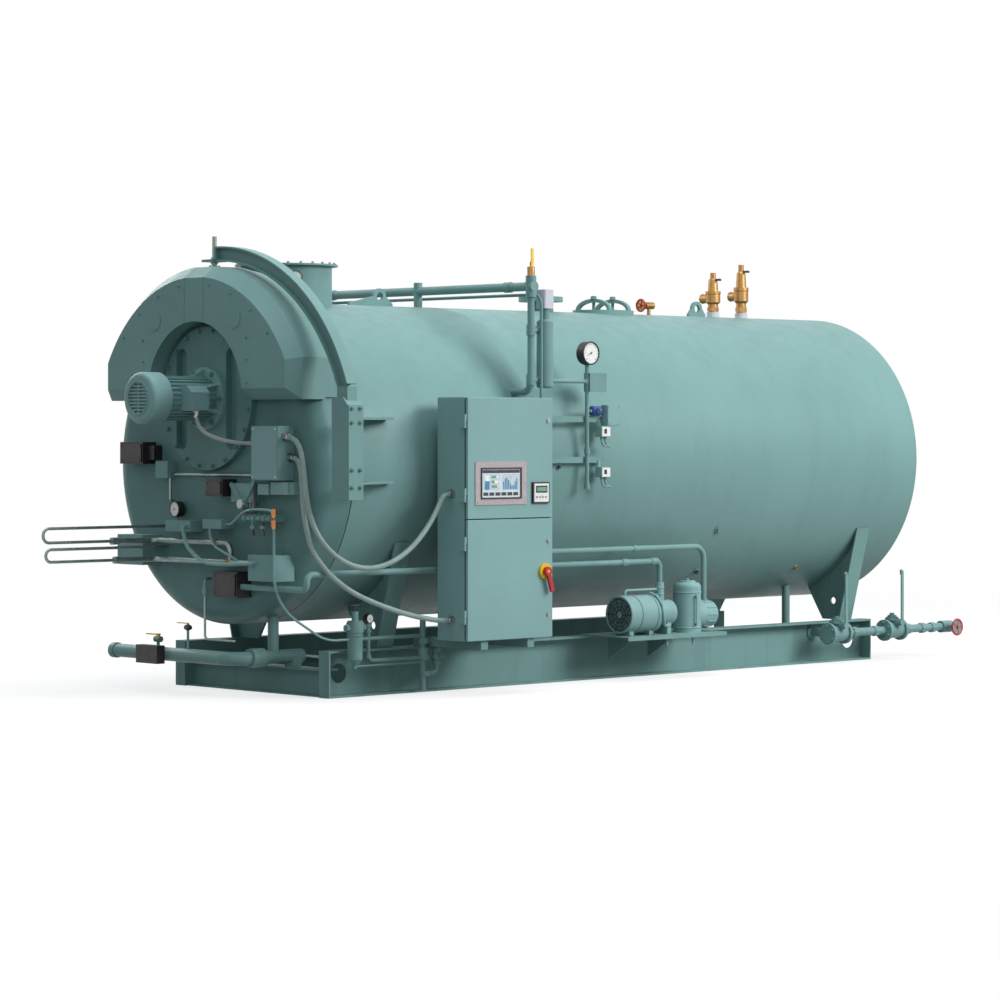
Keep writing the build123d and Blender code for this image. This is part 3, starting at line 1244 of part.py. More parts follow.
def compressor_motor():
    motor = drum(DRUM_R, DRUM_X0, DRUM_X1, PUMP_Y, PUMP_AXIS_Z)
    motor = fillet(motor.edges().group_by(Axis.X)[0], DRUM_LIP / 2)
    motor -= drum(DRUM_R - DRUM_LIP, DRUM_X0 - OVERCUT, DRUM_X0 + DRUM_MOUTH, PUMP_Y, PUMP_AXIS_Z)
    motor += drum(DRUM_HUB_R, DRUM_X0 + DRUM_MOUTH / 3, DRUM_X1, PUMP_Y, PUMP_AXIS_Z)
    block_end = DRUM_X1 + BLOCK_LENGTH
    motor += drum(BLOCK_R, DRUM_X1, block_end, PUMP_Y, PUMP_AXIS_Z)
    half = DRUM_R / 2
    for x in (DRUM_X0 + FOOT_INSET, DRUM_X1 - FOOT_INSET, block_end - FOOT_INSET):
        low = PUMP_AXIS_Z - half
        motor += block(x - FOOT_HALF, x + FOOT_HALF, PUMP_Y - half, PUMP_Y + half, SHELF_TOP, low)
    motor += rod((FILTER_X, PUMP_Y, PUMP_AXIS_Z), (FILTER_X, PUMP_Y, SHELF_TOP + FILTER_H), FILTER_R)
    start = DRUM_X0 + FOOT_INSET
    high = PUMP_AXIS_Z + DRUM_R + CROSSOVER_RISE
    route = [(start, PUMP_Y, high - 2 * CROSSOVER_RISE), (start, PUMP_Y, high), (FILTER_X, PUMP_Y, high)]
    return motor + pipe(route, CROSSOVER_R, CROSSOVER_BEND)


def compressor():
    compressor_shelf()
    PARTS["compressor"] = compressor_motor()
    tank = rod((TANK_X, PUMP_Y, SHELF_TOP), (TANK_X, PUMP_Y, SHELF_TOP + TANK_H), TANK_R)
    tank = fillet(tank.edges().group_by(Axis.Z)[-1], TANK_R / 3)
    bell = drum(BELL_R, TANK_X, BELL_X1, PUMP_Y, BELL_Z)
    PARTS["compressor_tank"] = tank + fillet(bell.edges().group_by(Axis.X)[-1], BELL_R / 3)


def air_pipes():
    high_z = door_z(-AIR_HIGH_DROP)
    tap_x = CAB_REAR_X + AIR_TAP_SETBACK
    root = AIR_SINK - shell_half(high_z)
    bell_x = (TANK_X + TANK_R + BELL_X1) / 2
    high = [(tap_x, root, high_z), (tap_x, PUMP_Y, high_z), (bell_x, PUMP_Y, high_z),
            (bell_x, PUMP_Y, BELL_Z + BELL_R + SEAT)]
    low_z = door_z(-AIR_LOW_DROP)
    front_z = door_z(-AIR_FRONT_DROP)
    front_x = DOOR_FACE_X - AIR_FRONT_STAND
    low = [(FILTER_X, PUMP_Y, SHELF_TOP + FILTER_H + SEAT), (FILTER_X, PUMP_Y, low_z), (front_x, PUMP_Y, low_z),
           (front_x, PUMP_Y, front_z), (front_x, door_y(AIR_ACTUATOR[0]), front_z)]
    PARTS["air_pipes"] = [on_shell(pipe(high, AIR_R, AIR_BEND)), pipe(low, AIR_R, AIR_BEND / 2 * DOOR_UNIT)]


# Blowdown line


def blow_valve(x):
    half = BLOW_VALVE_L / 2
    body = drum(BLOW_VALVE_R, x - half, x + half, BLOW_Y, BLOW_Z)
    for end in (-1, 1):
        body += drum(BLOW_FLANGE_R, x + end * half, x + end * (half - BLOW_FLANGE_T), BLOW_Y, BLOW_Z)
    boss_y = BLOW_Y - BLOW_FLANGE_R
    body += rod((x, BLOW_Y, LEVER_Z), (x, boss_y, LEVER_Z), LEVER_HUB_R)
    return body + rod((x, boss_y, LEVER_Z), (x, boss_y - LEVER_HUB_T, LEVER_Z), STEM_R)


def blow_lever(x):
    boss_y = BLOW_Y - BLOW_FLANGE_R
    outer = boss_y - LEVER_HUB_T
    hub = rod((x, boss_y - SEAT, LEVER_Z), (x, outer, LEVER_Z), LEVER_HUB_R)
    arm = block(x - LEVER_W / 2, x + LEVER_W / 2, outer, outer + LEVER_T, LEVER_Z, LEVER_Z + LEVER_L)
    arm = fillet(arm.edges().filter_by(Axis.Y).group_by(Axis.Z)[-1], LEVER_W / 2.2)
    return hub + arm - rod((x, boss_y, LEVER_Z), (x, outer - OVERCUT, LEVER_Z), STEM_R + SEAT)


def blow_drain(x):
    # From the bottom of the shell down and out through the near rail into the side of the first valve.
    y = BLOW_DRAIN_IN - RAIL_IN
    top = SHELL_AXIS_Z - shell_rise(y) + BLOW_R
    drain = pipe([(x, y, top), (x, y, BLOW_Z), (x, BLOW_Y, BLOW_Z)], BLOW_R, 1.8 * BLOW_R)
    web = -RAIL_IN - RAIL_WEB
    drain += rod((x, web, BLOW_Z), (x, web - BLOW_COLLAR_T, BLOW_Z), BLOW_COLLAR_R)
    return on_shell(drain) - drum(BLOW_VALVE_R + SEAT, x - BLOW_VALVE_L, x + BLOW_VALVE_L, BLOW_Y, BLOW_Z)


def blow_tail():
    wheel_x = SKID_HALF + BLOW_WHEEL_OVER
    tail = drum(BLOW_R, BLOW_VALVE_2_X + BLOW_VALVE_L / 2, SKID_HALF + BLOW_END_OVER, BLOW_Y, BLOW_Z)
    tail += drum(BLOW_GLOBE_R, wheel_x - 2 * BLOW_R, wheel_x + 2 * BLOW_R, BLOW_Y, BLOW_Z)
    wheel_y = BLOW_Y - BLOW_WHEEL_OUT
    tail += rod((wheel_x, BLOW_Y, BLOW_Z), (wheel_x, wheel_y, BLOW_Z), BLOW_R / 2)
    return tail + rod((wheel_x, wheel_y + BLOW_WHEEL_T, BLOW_Z), (wheel_x, wheel_y, BLOW_Z), BLOW_WHEEL_R)


def blowdown():
    half = BLOW_VALVE_L / 2
    middle = drum(BLOW_R, BLOW_VALVE_1_X + half, BLOW_VALVE_2_X - half, BLOW_Y, BLOW_Z)
    PARTS["blowdown_pipe"] = [blow_drain(BLOW_VALVE_1_X), middle, blow_tail()]
    PARTS["blowdown_valves"] = [blow_valve(BLOW_VALVE_1_X), blow_valve(BLOW_VALVE_2_X)]
    PARTS["blowdown_lever_front"] = blow_lever(BLOW_VALVE_1_X)
    PARTS["blowdown_lever_rear"] = blow_lever(BLOW_VALVE_2_X)


# Fuel lines and boxes at the front


def gas_line():
    end_x = GAS_X + GAS_REACH
    route = [(GAS_X, GAS_CAP_Y, GAS_Z), (GAS_X, GAS_TURN_Y, GAS_Z), (end_x, GAS_TURN_Y, GAS_Z)]
    line = pipe(route, GAS_R, GAS_BEND)
    line += rod((GAS_X, GAS_CAP_Y, GAS_Z), (GAS_X, GAS_CAP_Y - GAS_R, GAS_Z), 1.15 * GAS_R)
    union_x = GAS_X + GAS_UNION_REACH
    line += drum(GAS_UNION_R, union_x, union_x + GAS_UNION_L, GAS_TURN_Y, GAS_Z)
    riser_x = GAS_X + GAS_RISER_REACH
    riser_top = SHELL_AXIS_Z - shell_rise(SHELL_R / 2)
    riser = rod((riser_x, GAS_TURN_Y, GAS_Z), (riser_x, GAS_TURN_Y, riser_top), GAS_RISER_R)
    cock_z = GAS_Z + GAS_COCK_H
    cock = rod((GAS_X, GAS_COCK_Y, GAS_Z), (GAS_X, GAS_COCK_Y, cock_z), GAS_COCK_R)
    half = GAS_COCK_BODY_L / 2
    cock += rod((GAS_X, GAS_COCK_Y - half, cock_z), (GAS_X, GAS_COCK_Y + half, cock_z), GAS_COCK_BODY_R)
    PARTS["gas_pipe"] = line + on_door(riser) + cock


def gas_actuator():
    back = GAS_X - GAS_R - SEAT
    half = GAS_ACTUATOR_H / 2
    return block(back - GAS_ACTUATOR_DEPTH, back, GAS_ACTUATOR_Y0, GAS_ACTUATOR_Y1, GAS_Z - half, GAS_Z + half)


def linkage():
    # A bracket with two links and a cam that tie the fuel valve to its drive.
    depth = LINKAGE_BOX[4]
    x = DOOR_FACE_X - depth
    body = door_box(LINKAGE_BOX)
    points = [Vector(x, door_y(y), door_z(rise)) for y, rise in (LINK_A, LINK_B, LINK_C)]
    for start, end in zip(points, points[1:]):
        run = end - start
        face = Plane((start + end) / 2, x_dir=run, z_dir=(-1, 0, 0)) * SlotCenterToCenter(run.length, LINK_W)
        body += extrude(face, LINK_T)
    cam = points[1]
    return body + drum(LINK_CAM_R, x - LINK_CAM_T, x, cam.Y, cam.Z)


def front_gauge():
    y = door_y(FRONT_GAUGE_Y)
    z = door_z(FRONT_GAUGE_RISE)
    x = DOOR_FACE_X - FRONT_GAUGE_STAND
    half = FRONT_GAUGE_DEPTH / 2
    PARTS["dial_gauges"].append(drum(FRONT_GAUGE_R, x - half, x + half, y, z))
    low = door_z(GAUGE_BLOCK[3])
    return rod((x, y, low), (x, y, z - FRONT_GAUGE_R - SEAT), FRONT_GAUGE_STEM_R)


def door_boxes():
    PARTS["junction_boxes"] = [door_box(sizes) for sizes in (JUNCTION_BOX, *RELAY_BOXES)]
    damper = door_box(DAMPER_ACTUATOR) + door_box(DAMPER_NECK)
    PARTS["actuators"] = [damper, door_box(FUEL_ACTUATOR), door_box(AIR_ACTUATOR), gas_actuator()]
    boxes = [door_box(sizes) for sizes in (TUBE_BLOCK, VALVE_BLOCK, SWITCH_BLOCK, UPPER_VALVE)]
    PARTS["burner_manifold"] = [door_box(GAUGE_BLOCK) + front_gauge(), linkage()] + boxes
    PARTS["loop_plate"] = door_box(LOOP_BOX)


def fuel_loop(y, out_rise, back_rise, rest):
    # A tube that runs out from the door and back to a union, where a wider pipe takes over.
    tip = DOOR_FACE_X - LOOP_REACH
    union = DOOR_FACE_X - LOOP_UNION_REACH
    y = door_y(y)
    high = door_z(out_rise)
    low = door_z(back_rise)
    route = [(DOOR_FACE_X, y, high), (tip, y, high), (tip, y, low), (union, y, low)]
    loop = pipe(route, LOOP_R, (high - low) / 2.05)
    loop += drum(LOOP_UNION_R, union - LOOP_UNION_L / 2, union + LOOP_UNION_L / 2, y, low)
    x = DOOR_FACE_X - FUEL_STAND
    onward = [(union, y, low), (x, y, low)] + [(x, end_y, end_z) for end_y, end_z in rest]
    return loop + pipe(onward, FUEL_R, FUEL_BEND)


def fuel_loops():
    end_y = door_y(HIGH_PIPE_END)
    low_z = door_z(LOW_LOOP_BACK)
    x = DOOR_FACE_X - FUEL_STAND
    valve_y = door_y(VALVE_BLOCK[1])
    drop = [(end_y, door_z(HIGH_LOOP_BACK)), (end_y, low_z)]
    high = fuel_loop(HIGH_LOOP_Y, HIGH_LOOP_OUT, HIGH_LOOP_BACK, drop)
    low = fuel_loop(LOW_LOOP_Y, LOW_LOOP_OUT, LOW_LOOP_BACK, [(valve_y, low_z)])
    low_pipe = rod((x, door_y(LOW_LOOP_Y), low_z), (x, valve_y, low_z), FUEL_R + SEAT)
    drip_z = door_z(DRIP_RISE)
    drip_x = DOOR_FACE_X - DRIP_STAND
    drip = pipe([(DOOR_FACE_X, DRIP_Y, drip_z), (drip_x, DRIP_Y, drip_z), (drip_x, DRIP_Y, DRIP_LOW_Z),
                 (drip_x, DRIP_END_Y, DRIP_LOW_Z)], DRIP_R, DRIP_BEND)
    PARTS["fuel_loops"] = [high - low_pipe, low, drip, rigid_conduit(), switch_drop()]
    PARTS["front_tubes"] = [block_tube(), small_tube() - low_pipe, purge_tube()]


def rigid_conduit():
    x = DOOR_FACE_X - RIGID_CONDUIT_STAND
    z = door_z(RIGID_CONDUIT_RISE)
    return rod((x, door_y(SWITCH_BLOCK[0]), z), (x, door_y(JUNCTION_BOX[1]), z), RIGID_CONDUIT_R)


def switch_drop():
    x = DOOR_FACE_X - RIGID_CONDUIT_STAND
    y = door_y(RIGID_DROP_Y)
    z = door_z(RIGID_DROP_RISE)
    route = [(x, y, door_z(SWITCH_BLOCK[2])), (x, y, z), (DOOR_FACE_X, y, z)]
    return pipe(route, RIGID_CONDUIT_R, RIGID_DROP_BEND)


def block_tube():
    face = DOOR_FACE_X - GAUGE_BLOCK[4]
    x = face - BLOCK_TUBE_STAND
    middle = [(x, door_y(y), door_z(rise)) for y, rise in BLOCK_TUBE]
    start = (face - SEAT, *middle[0][1:])
    end = (DOOR_FACE_X - VALVE_BLOCK[4] - SEAT, *middle[-1][1:])
    return bent_tube([start, *middle, end], BLOCK_TUBE_R)


def small_tube():
    x = DOOR_FACE_X - SMALL_TUBE_STAND
    start = (x, door_y(SMALL_TUBE[0][0]), door_z(TUBE_BLOCK[2]))
    end = (DOOR_FACE_X - FUEL_STAND, door_y(SMALL_TUBE_END_Y), door_z(LOW_LOOP_BACK))
    return bent_tube([start, *((x, door_y(y), door_z(rise)) for y, rise in SMALL_TUBE), end], SMALL_TUBE_R)


def purge_tube():
    # From the tube block round the valves and down to the strainer on the rail.
    x = DOOR_FACE_X - PURGE_STAND
    start_x = DOOR_FACE_X - FUEL_STAND
    start_z = door_z((TUBE_BLOCK[2] + TUBE_BLOCK[3]) / 2)
    start = [(start_x, door_y(TUBE_BLOCK[0]), start_z), (start_x, door_y(TUBE_BLOCK[0] - PURGE_LEAVE), start_z)]
    end_x = STRAINER_X - STRAINER_R - SEAT
    end = [(end_x - 4 * STRAINER_R, RAIL_PIPE_Y, FEED_Z), (end_x, RAIL_PIPE_Y, FEED_Z)]
    return bent_tube(start + [(x, door_y(y), door_z(rise)) for y, rise in PURGE_TUBE] + end, SMALL_TUBE_R)


def rail_clip(x):
    low = RAIL_DEPTH - RAIL_FLANGE_T
    return block(x - RAIL_CLIP_HALF, x + RAIL_CLIP_HALF, RAIL_PIPE_Y, -RAIL_OUT, low, RAIL_DEPTH)


def rail_fittings():
    y = RAIL_PIPE_Y
    line = rod((STRAINER_X, y, STRAINER_LOW), (STRAINER_X, y, STRAINER_HIGH), STRAINER_R)
    neck_top = STRAINER_HIGH + STRAINER_NECK_H
    line += rod((STRAINER_X, y, STRAINER_HIGH), (STRAINER_X, y, neck_top), STRAINER_NECK_R)
    line += rod((RISER_X, y, RISER_LOW), (RISER_X, y, RISER_HIGH), RISER_R)
    line += rod((RISER_X, y, RISER_VALVE_LOW), (RISER_X, y, RISER_VALVE_HIGH), RISER_VALVE_R)
    line += rod((STRAINER_X, y, FEED_Z), (RISER_X, y, FEED_Z), FEED_R)
    PARTS["rail_fittings"] = line + rail_clip(STRAINER_X) + rail_clip(RISER_X)


# Flexible conduits


def route_between(start, leave, end, arrive):
    # The first points are measured from the start and the last from the end.
    first = [Vector(*start) + Vector(*step) for step in leave]
    return first + [Vector(*end) + Vector(*step) for step in arrive]


def conduits():
    box_y = door_y(JUNCTION_BOX[0])
    cabinet_y = CAB_BACK_Y - CAB_DEPTH + CONDUIT_CABINET_INSET
    start = (DOOR_FACE_X - UPPER_CONDUIT_STAND, box_y, door_z(UPPER_CONDUIT_RISE))
    end = (CAB_FRONT_X, cabinet_y, CAB_SEAM_Z + UPPER_CONDUIT_ABOVE_SEAM)
    PARTS["conduit_upper"] = bent_tube(route_between(start, UPPER_LEAVE, end, UPPER_ARRIVE), CONDUIT_R)
    start = (DOOR_FACE_X - LOWER_CONDUIT_STAND, box_y, door_z(LOWER_CONDUIT_RISE))
    end = (CAB_FRONT_X, cabinet_y, CAB_BOTTOM + LOWER_CONDUIT_ABOVE_BOTTOM)
    PARTS["conduit_lower"] = bent_tube(route_between(start, LOWER_LEAVE, end, LOWER_ARRIVE), CONDUIT_R)
    start = (TERMINAL_BOX_X, TERMINAL_BOX_Y - TERMINAL_BOX_D / 2, FAN_AXIS_Z - TERMINAL_BOX_H / 2)
    end = (DOOR_FACE_X - MOTOR_CONDUIT_STAND, door_y(JUNCTION_BOX[1]), door_z(MOTOR_CONDUIT_RISE))
    PARTS["motor_conduit"] = bent_tube(route_between(start, MOTOR_LEAVE, end, MOTOR_ARRIVE), MOTOR_CONDUIT_R)


for make in (skid, vessel, fan_shroud, blower, davit, top_fittings, water_columns, gauge_manifold, cabinet,
             compressor, air_pipes, blowdown, gas_line, door_boxes, fuel_loops, rail_fittings, conduits):
    make()
os.makedirs("parts", exist_ok=True)
for name, shape in PARTS.items():
    export_step(Compound(children=shape) if isinstance(shape, list) else shape, f"parts/{name}.step")
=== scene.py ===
import math

import bmesh
import bpy
from mathutils import Matrix, Vector


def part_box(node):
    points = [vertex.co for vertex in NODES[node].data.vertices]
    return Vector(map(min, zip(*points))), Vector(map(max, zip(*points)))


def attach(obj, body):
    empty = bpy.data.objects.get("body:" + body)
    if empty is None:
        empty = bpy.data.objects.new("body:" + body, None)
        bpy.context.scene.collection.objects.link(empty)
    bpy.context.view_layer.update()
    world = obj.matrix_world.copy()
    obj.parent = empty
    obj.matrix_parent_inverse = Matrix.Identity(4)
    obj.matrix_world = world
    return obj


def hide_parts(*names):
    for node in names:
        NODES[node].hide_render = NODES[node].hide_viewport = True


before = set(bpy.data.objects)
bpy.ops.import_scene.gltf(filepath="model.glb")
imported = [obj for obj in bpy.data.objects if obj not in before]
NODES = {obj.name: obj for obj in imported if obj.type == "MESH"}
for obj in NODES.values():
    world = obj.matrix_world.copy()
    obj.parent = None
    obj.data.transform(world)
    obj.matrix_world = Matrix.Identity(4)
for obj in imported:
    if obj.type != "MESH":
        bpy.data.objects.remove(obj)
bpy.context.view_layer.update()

ROOT = "boiler"
UPPER = "cabinet_upper_door"
LOWER = "cabinet_lower_door"
LEVERS = ("blowdown_lever_front", "blowdown_lever_rear")
MM = 0.001


# Camera at the photograph's viewing angle, level, with a small downward shift
CAMERA_AT = (-16.562, -17.141, 1.748)
CAMERA_DIR = (0.6858, 0.7278, 0.0)
CAMERA_LENS = 119.4
CAMERA_SHIFT_Y = -0.072


def make_camera():
    data = bpy.data.cameras.new("camera")
    data.lens = CAMERA_LENS
    data.sensor_width = 36.0
    data.shift_y = CAMERA_SHIFT_Y
    data.clip_end = 200.0
    camera = bpy.data.objects.new("camera", data)
    camera.location = CAMERA_AT
    camera.rotation_euler = Vector(CAMERA_DIR).to_track_quat("-Z", "Y").to_euler()
    bpy.context.scene.collection.objects.link(camera)
    bpy.context.scene.camera = camera


make_camera()


# Colours, written as they are seen


def srgb(r, g, b):
    def linear(c):
        c /= 255.0
        return c / 12.92 if c <= 0.04045 else ((c + 0.055) / 1.055) ** 2.4

    return (linear(r), linear(g), linear(b), 1.0)


def shade(color, factor):
    return tuple(min(1.0, c * factor) for c in color[:3]) + (1.0,)


SAGE = srgb(117, 153, 150)
# A deeper copy of the sage paint: painted shade on the front door, the burner plate and its bolts.
SAGE_PAINTED_SHADE = srgb(98, 134, 132)
# A paler copy of the sage paint: painted light on the motor, its terminal box and fan cover, the compressor
# and its tank; the cabinet and the front tubes use it too.
SAGE_PALE = srgb(131, 167, 165)
BLACK = srgb(17, 16, 19)
BRONZE = srgb(170, 132, 84)
BRASS = srgb(190, 150, 88)
COPPER = srgb(196, 122, 78)
PALE = srgb(200, 200, 210)
WHITE = srgb(226, 226, 222)
RED = srgb(176, 30, 30)
YELLOW = srgb(226, 186, 30)
STEEL = srgb(150, 156, 158)
PLATE = srgb(172, 160, 162)
BLUE = srgb(36, 76, 158)


# Procedural materials


class Nodes:
    def __init__(self, name):
        self.material = bpy.data.materials.new(name)
        self.material.use_nodes = True
        self.tree = self.material.node_tree
        self.shader = self.tree.nodes["Principled BSDF"]
        self.where = self.tree.nodes.new("ShaderNodeTexCoord").outputs["Object"]

    def add(self, kind, links=None, **values):
        node = self.tree.nodes.new(kind)
        for key, value in values.items():
            setattr(node, key, value)
        for key, output in (links or {}).items():
            self.tree.links.new(output, node.inputs[key])
        return node

    def noise(self, scale, detail=4.0, rough=0.55, where=None):
        node = self.add("ShaderNodeTexNoise", {"Vector": where or self.where})
        node.inputs["Scale"].default_value = scale
        node.inputs["Detail"].default_value = detail
        node.inputs["Roughness"].default_value = rough
        return node.outputs["Fac"]

    def stretch(self, x, y, z):
        node = self.add("ShaderNodeMapping", {"Vector": self.where})
        node.inputs["Scale"].default_value = (x, y, z)
        return node.outputs["Vector"]

    def ramp(self, fac, stops):
        node = self.add("ShaderNodeValToRGB", {"Fac": fac})
        band = node.color_ramp
        while len(band.elements) < len(stops):
            band.elements.new(0.5)
        for element, (place, color) in zip(band.elements, stops):
            element.position = place
            element.color = color
        return node.outputs["Color"]

    def grey(self, fac, low, high, start=0.3, end=0.7):
        node = self.add("ShaderNodeMapRange", {"Value": fac})
        for key, value in (("From Min", start), ("From Max", end), ("To Min", low), ("To Max", high)):
            node.inputs[key].default_value = value
        return node.outputs["Result"]

    def mix(self, fac, a, b):
        node = self.add("ShaderNodeMix", data_type="RGBA")
        sockets = {s.identifier: s for s in node.inputs}
        for key, value in (("Factor_Float", fac), ("A_Color", a), ("B_Color", b)):
            if isinstance(value, bpy.types.NodeSocket):
                self.tree.links.new(value, sockets[key])
            else:
                sockets[key].default_value = value
        return next(s for s in node.outputs if s.identifier == "Result_Color")

    def color(self, output):
        self.tree.links.new(output, self.shader.inputs["Base Color"])

    def rough(self, output):
        self.tree.links.new(output, self.shader.inputs["Roughness"])

    def bump(self, height, strength, distance=0.002):
        node = self.add("ShaderNodeBump", {"Height": height})
        node.inputs["Strength"].default_value = strength
        node.inputs["Distance"].default_value = distance
        self.tree.links.new(node.outputs["Normal"], self.shader.inputs["Normal"])

    def up(self):
        # How far a surface faces upward, from 0 to 1.
        normal = self.add("ShaderNodeNewGeometry").outputs["Normal"]
        parts = self.add("ShaderNodeSeparateXYZ", {"Vector": normal})
        return self.grey(parts.outputs["Z"], 0.0, 1.0, 0.55, 1.0)

    def set(self, **values):
        for key, value in values.items():
            self.shader.inputs[key.replace("_", " ")].default_value = value


def paint(name, color, rough=0.36, patch=1.3, dust=0.16, grime=0.0):
    # Enamel on steel: faint patches, fine orange peel, dust where it faces up, runs of grime.
    n = Nodes(name)
    patches = n.ramp(n.noise(patch, 3.0), [(0.35, shade(color, 0.93)), (0.65, shade(color, 1.05))])
    fine = n.noise(34.0, 5.0)
    base = n.mix(n.grey(fine, 0.0, 0.16), patches, shade(color, 0.8))
    if grime:
        runs = n.noise(1.0, 6.0, 0.6, n.stretch(6.0, 6.0, 0.7))
        base = n.mix(n.grey(runs, 0.0, grime, 0.5, 0.78), base, srgb(70, 84, 78))
    specks = n.mix(n.grey(n.noise(11.0, 6.0), 0.0, dust, 0.42, 0.8), base, srgb(196, 204, 200))
    n.color(n.mix(n.up(), base, specks))
    n.rough(n.grey(n.noise(9.0, 5.0), rough - 0.05, rough + 0.09))
    n.bump(n.noise(420.0, 2.0), 0.10, 0.0006)
    n.set(Specular_IOR_Level=0.12)
    return n.material


def plastic(name, color, rough=0.5):
    n = Nodes(name)
    fine = n.noise(60.0, 4.0)
    n.color(n.ramp(fine, [(0.3, shade(color, 0.85)), (0.7, shade(color, 1.12))]))
    n.rough(n.grey(n.noise(18.0, 4.0), rough - 0.06, rough + 0.1))
    n.bump(n.noise(900.0, 2.0), 0.15, 0.0004)
    return n.material


def metal(name, color, rough=0.32, cast=0.0, stain=0.25):
    n = Nodes(name)
    tone = n.ramp(n.noise(22.0, 5.0), [(0.3, shade(color, 0.8)), (0.7, shade(color, 1.08))])
    n.color(n.mix(n.grey(n.noise(6.0, 6.0), 0.0, stain, 0.45, 0.75), tone, shade(color, 0.45)))
    n.rough(n.grey(n.noise(30.0, 5.0), rough - 0.06, rough + 0.16))
    n.bump(n.noise(260.0 if cast else 700.0, 4.0), 0.12 + cast, 0.0006)
    n.set(Metallic=1.0)
    return n.material


def ribbed(name, color, turns):
    # A wound metal conduit: fine rings across its length from its own UV map.
    n = Nodes(name)
    uv = n.tree.nodes.new("ShaderNodeUVMap").outputs["UV"]
    wave = n.add("ShaderNodeTexWave", {"Vector": uv})
    wave.wave_type = "BANDS"
    wave.bands_direction = "X"
    wave.inputs["Scale"].default_value = turns
    rings = wave.outputs["Fac"]
    tone = n.ramp(n.noise(12.0, 4.0), [(0.3, shade(color, 0.85)), (0.7, shade(color, 1.1))])
    # The rings also darken the colour in bands: painted shade across the windings.
    n.color(n.mix(n.grey(rings, 0.0, 0.35, 0.0, 1.0), tone, shade(color, 0.55)))
    n.rough(n.grey(n.noise(20.0, 4.0), 0.34, 0.5))
    n.bump(rings, 0.5, 0.002)
    return n.material


M = {
    "shell": paint("vessel_enamel", SAGE, 0.4, 0.6, 0.10, 0.12),
    # The door paint is the deeper sage, painted shade of the front.
    "door": paint("door_enamel_painted_shade", SAGE_PAINTED_SHADE, 0.4, 1.1, 0.10, 0.18),
    "shroud": paint("shroud_enamel", SAGE, 0.42, 1.4, 0.10),
    "skid": paint("skid_enamel", SAGE, 0.46, 1.2, 0.35, 0.35),
    "pipe": paint("pipe_enamel", SAGE, 0.38, 4.0, 0.2, 0.12),
    "cabinet": paint("cabinet_enamel", SAGE_PALE, 0.34, 0.9, 0.10),
    # The motor group takes the paler sage, painted light.
    "motor": paint("motor_enamel_painted_light", SAGE_PALE, 0.4, 5.0, 0.25, 0.1),
    "black": plastic("black_housing", BLACK, 0.48),
    "rubber": plastic("black_rubber", srgb(30, 30, 30), 0.75),
    "bronze": metal("cast_bronze", BRONZE, 0.36, 0.25),
    "brass": metal("turned_brass", BRASS, 0.28),
    "copper": metal("copper_fitting", COPPER, 0.3),
    "steel": metal("drawn_steel", STEEL, 0.3),
    "tube": metal("dull_tube", srgb(128, 144, 142), 0.44),
    "tube_paint": paint("tube_enamel", SAGE_PALE, 0.42, 6.0, 0.2),
    "dark_steel": metal("dark_steel", srgb(70, 72, 74), 0.42),
    "pale": paint("pale_enamel", PALE, 0.4, 6.0, 0.1),
    "white": plastic("white_plastic", WHITE, 0.45),
    "plate": plastic("grey_plate", PLATE, 0.42),
    "red": plastic("red_plastic", RED, 0.32),
    "yellow": plastic("yellow_plastic", YELLOW, 0.36),
    "blue": plastic("blue_plastic", BLUE, 0.4),
    "conduit": ribbed("conduit_wound", srgb(146, 168, 162), 160.0),
    "conduit_bare": ribbed("conduit_bare_wound", srgb(168, 176, 174), 70.0),
    "screen_back": plastic("screen_ground", srgb(214, 220, 222), 0.3),
    "screen_bar": plastic("screen_header", srgb(40, 50, 70), 0.3),
    "screen_panel": plastic("screen_field", srgb(190, 202, 208), 0.3),
    "screen_water": plastic("screen_level", srgb(64, 132, 172), 0.3),
    "screen_pale": plastic("screen_light", srgb(232, 234, 234), 0.3),
    "screen_green": plastic("screen_run", srgb(104, 156, 128), 0.3),
}
NODE_MATERIALS = {
    "shell": "boiler_shell rear_head front_tube_sheet lifting_lugs stack_outlet steam_nozzle manway_ring "
             "manway_cover",
    "door": "front_door burner_plate",
    "shroud": "fan_shroud davit_arm davit_post loop_plate",
    "skid": "rail_near rail_far skid_cross_members saddle_legs cabinet_arms compressor_shelf",
    "pipe": "steam_header water_columns gauge_manifold control_bars air_pipes blowdown_pipe "
            "blowdown_valves blowdown_lever_front blowdown_lever_rear gas_pipe burner_manifold rail_fittings",
    "cabinet": "cabinet_body cabinet_lower_door cabinet_upper_door junction_boxes pressure_controls",
    "motor": "motor_body motor_terminal_box motor_fan_cover compressor compressor_tank",
    "black": "actuators dial_gauges controller_module",
    "rubber": "door_gasket",
    "bronze": "safety_valves brass_valves",
    "tube": "davit_rod fuel_loops",
    "tube_paint": "front_tubes",
    "pale": "safety_valve_bases cutoff_heads",
    "plate": "screen_panel",
    "yellow": "disconnect_base",
    "red": "disconnect_handle",
    "conduit": "conduit_upper conduit_lower motor_conduit",
}


for key, names in NODE_MATERIALS.items():
    for name in names.split():
        NODES[name].data.materials.clear()
        NODES[name].data.materials.append(M[key])


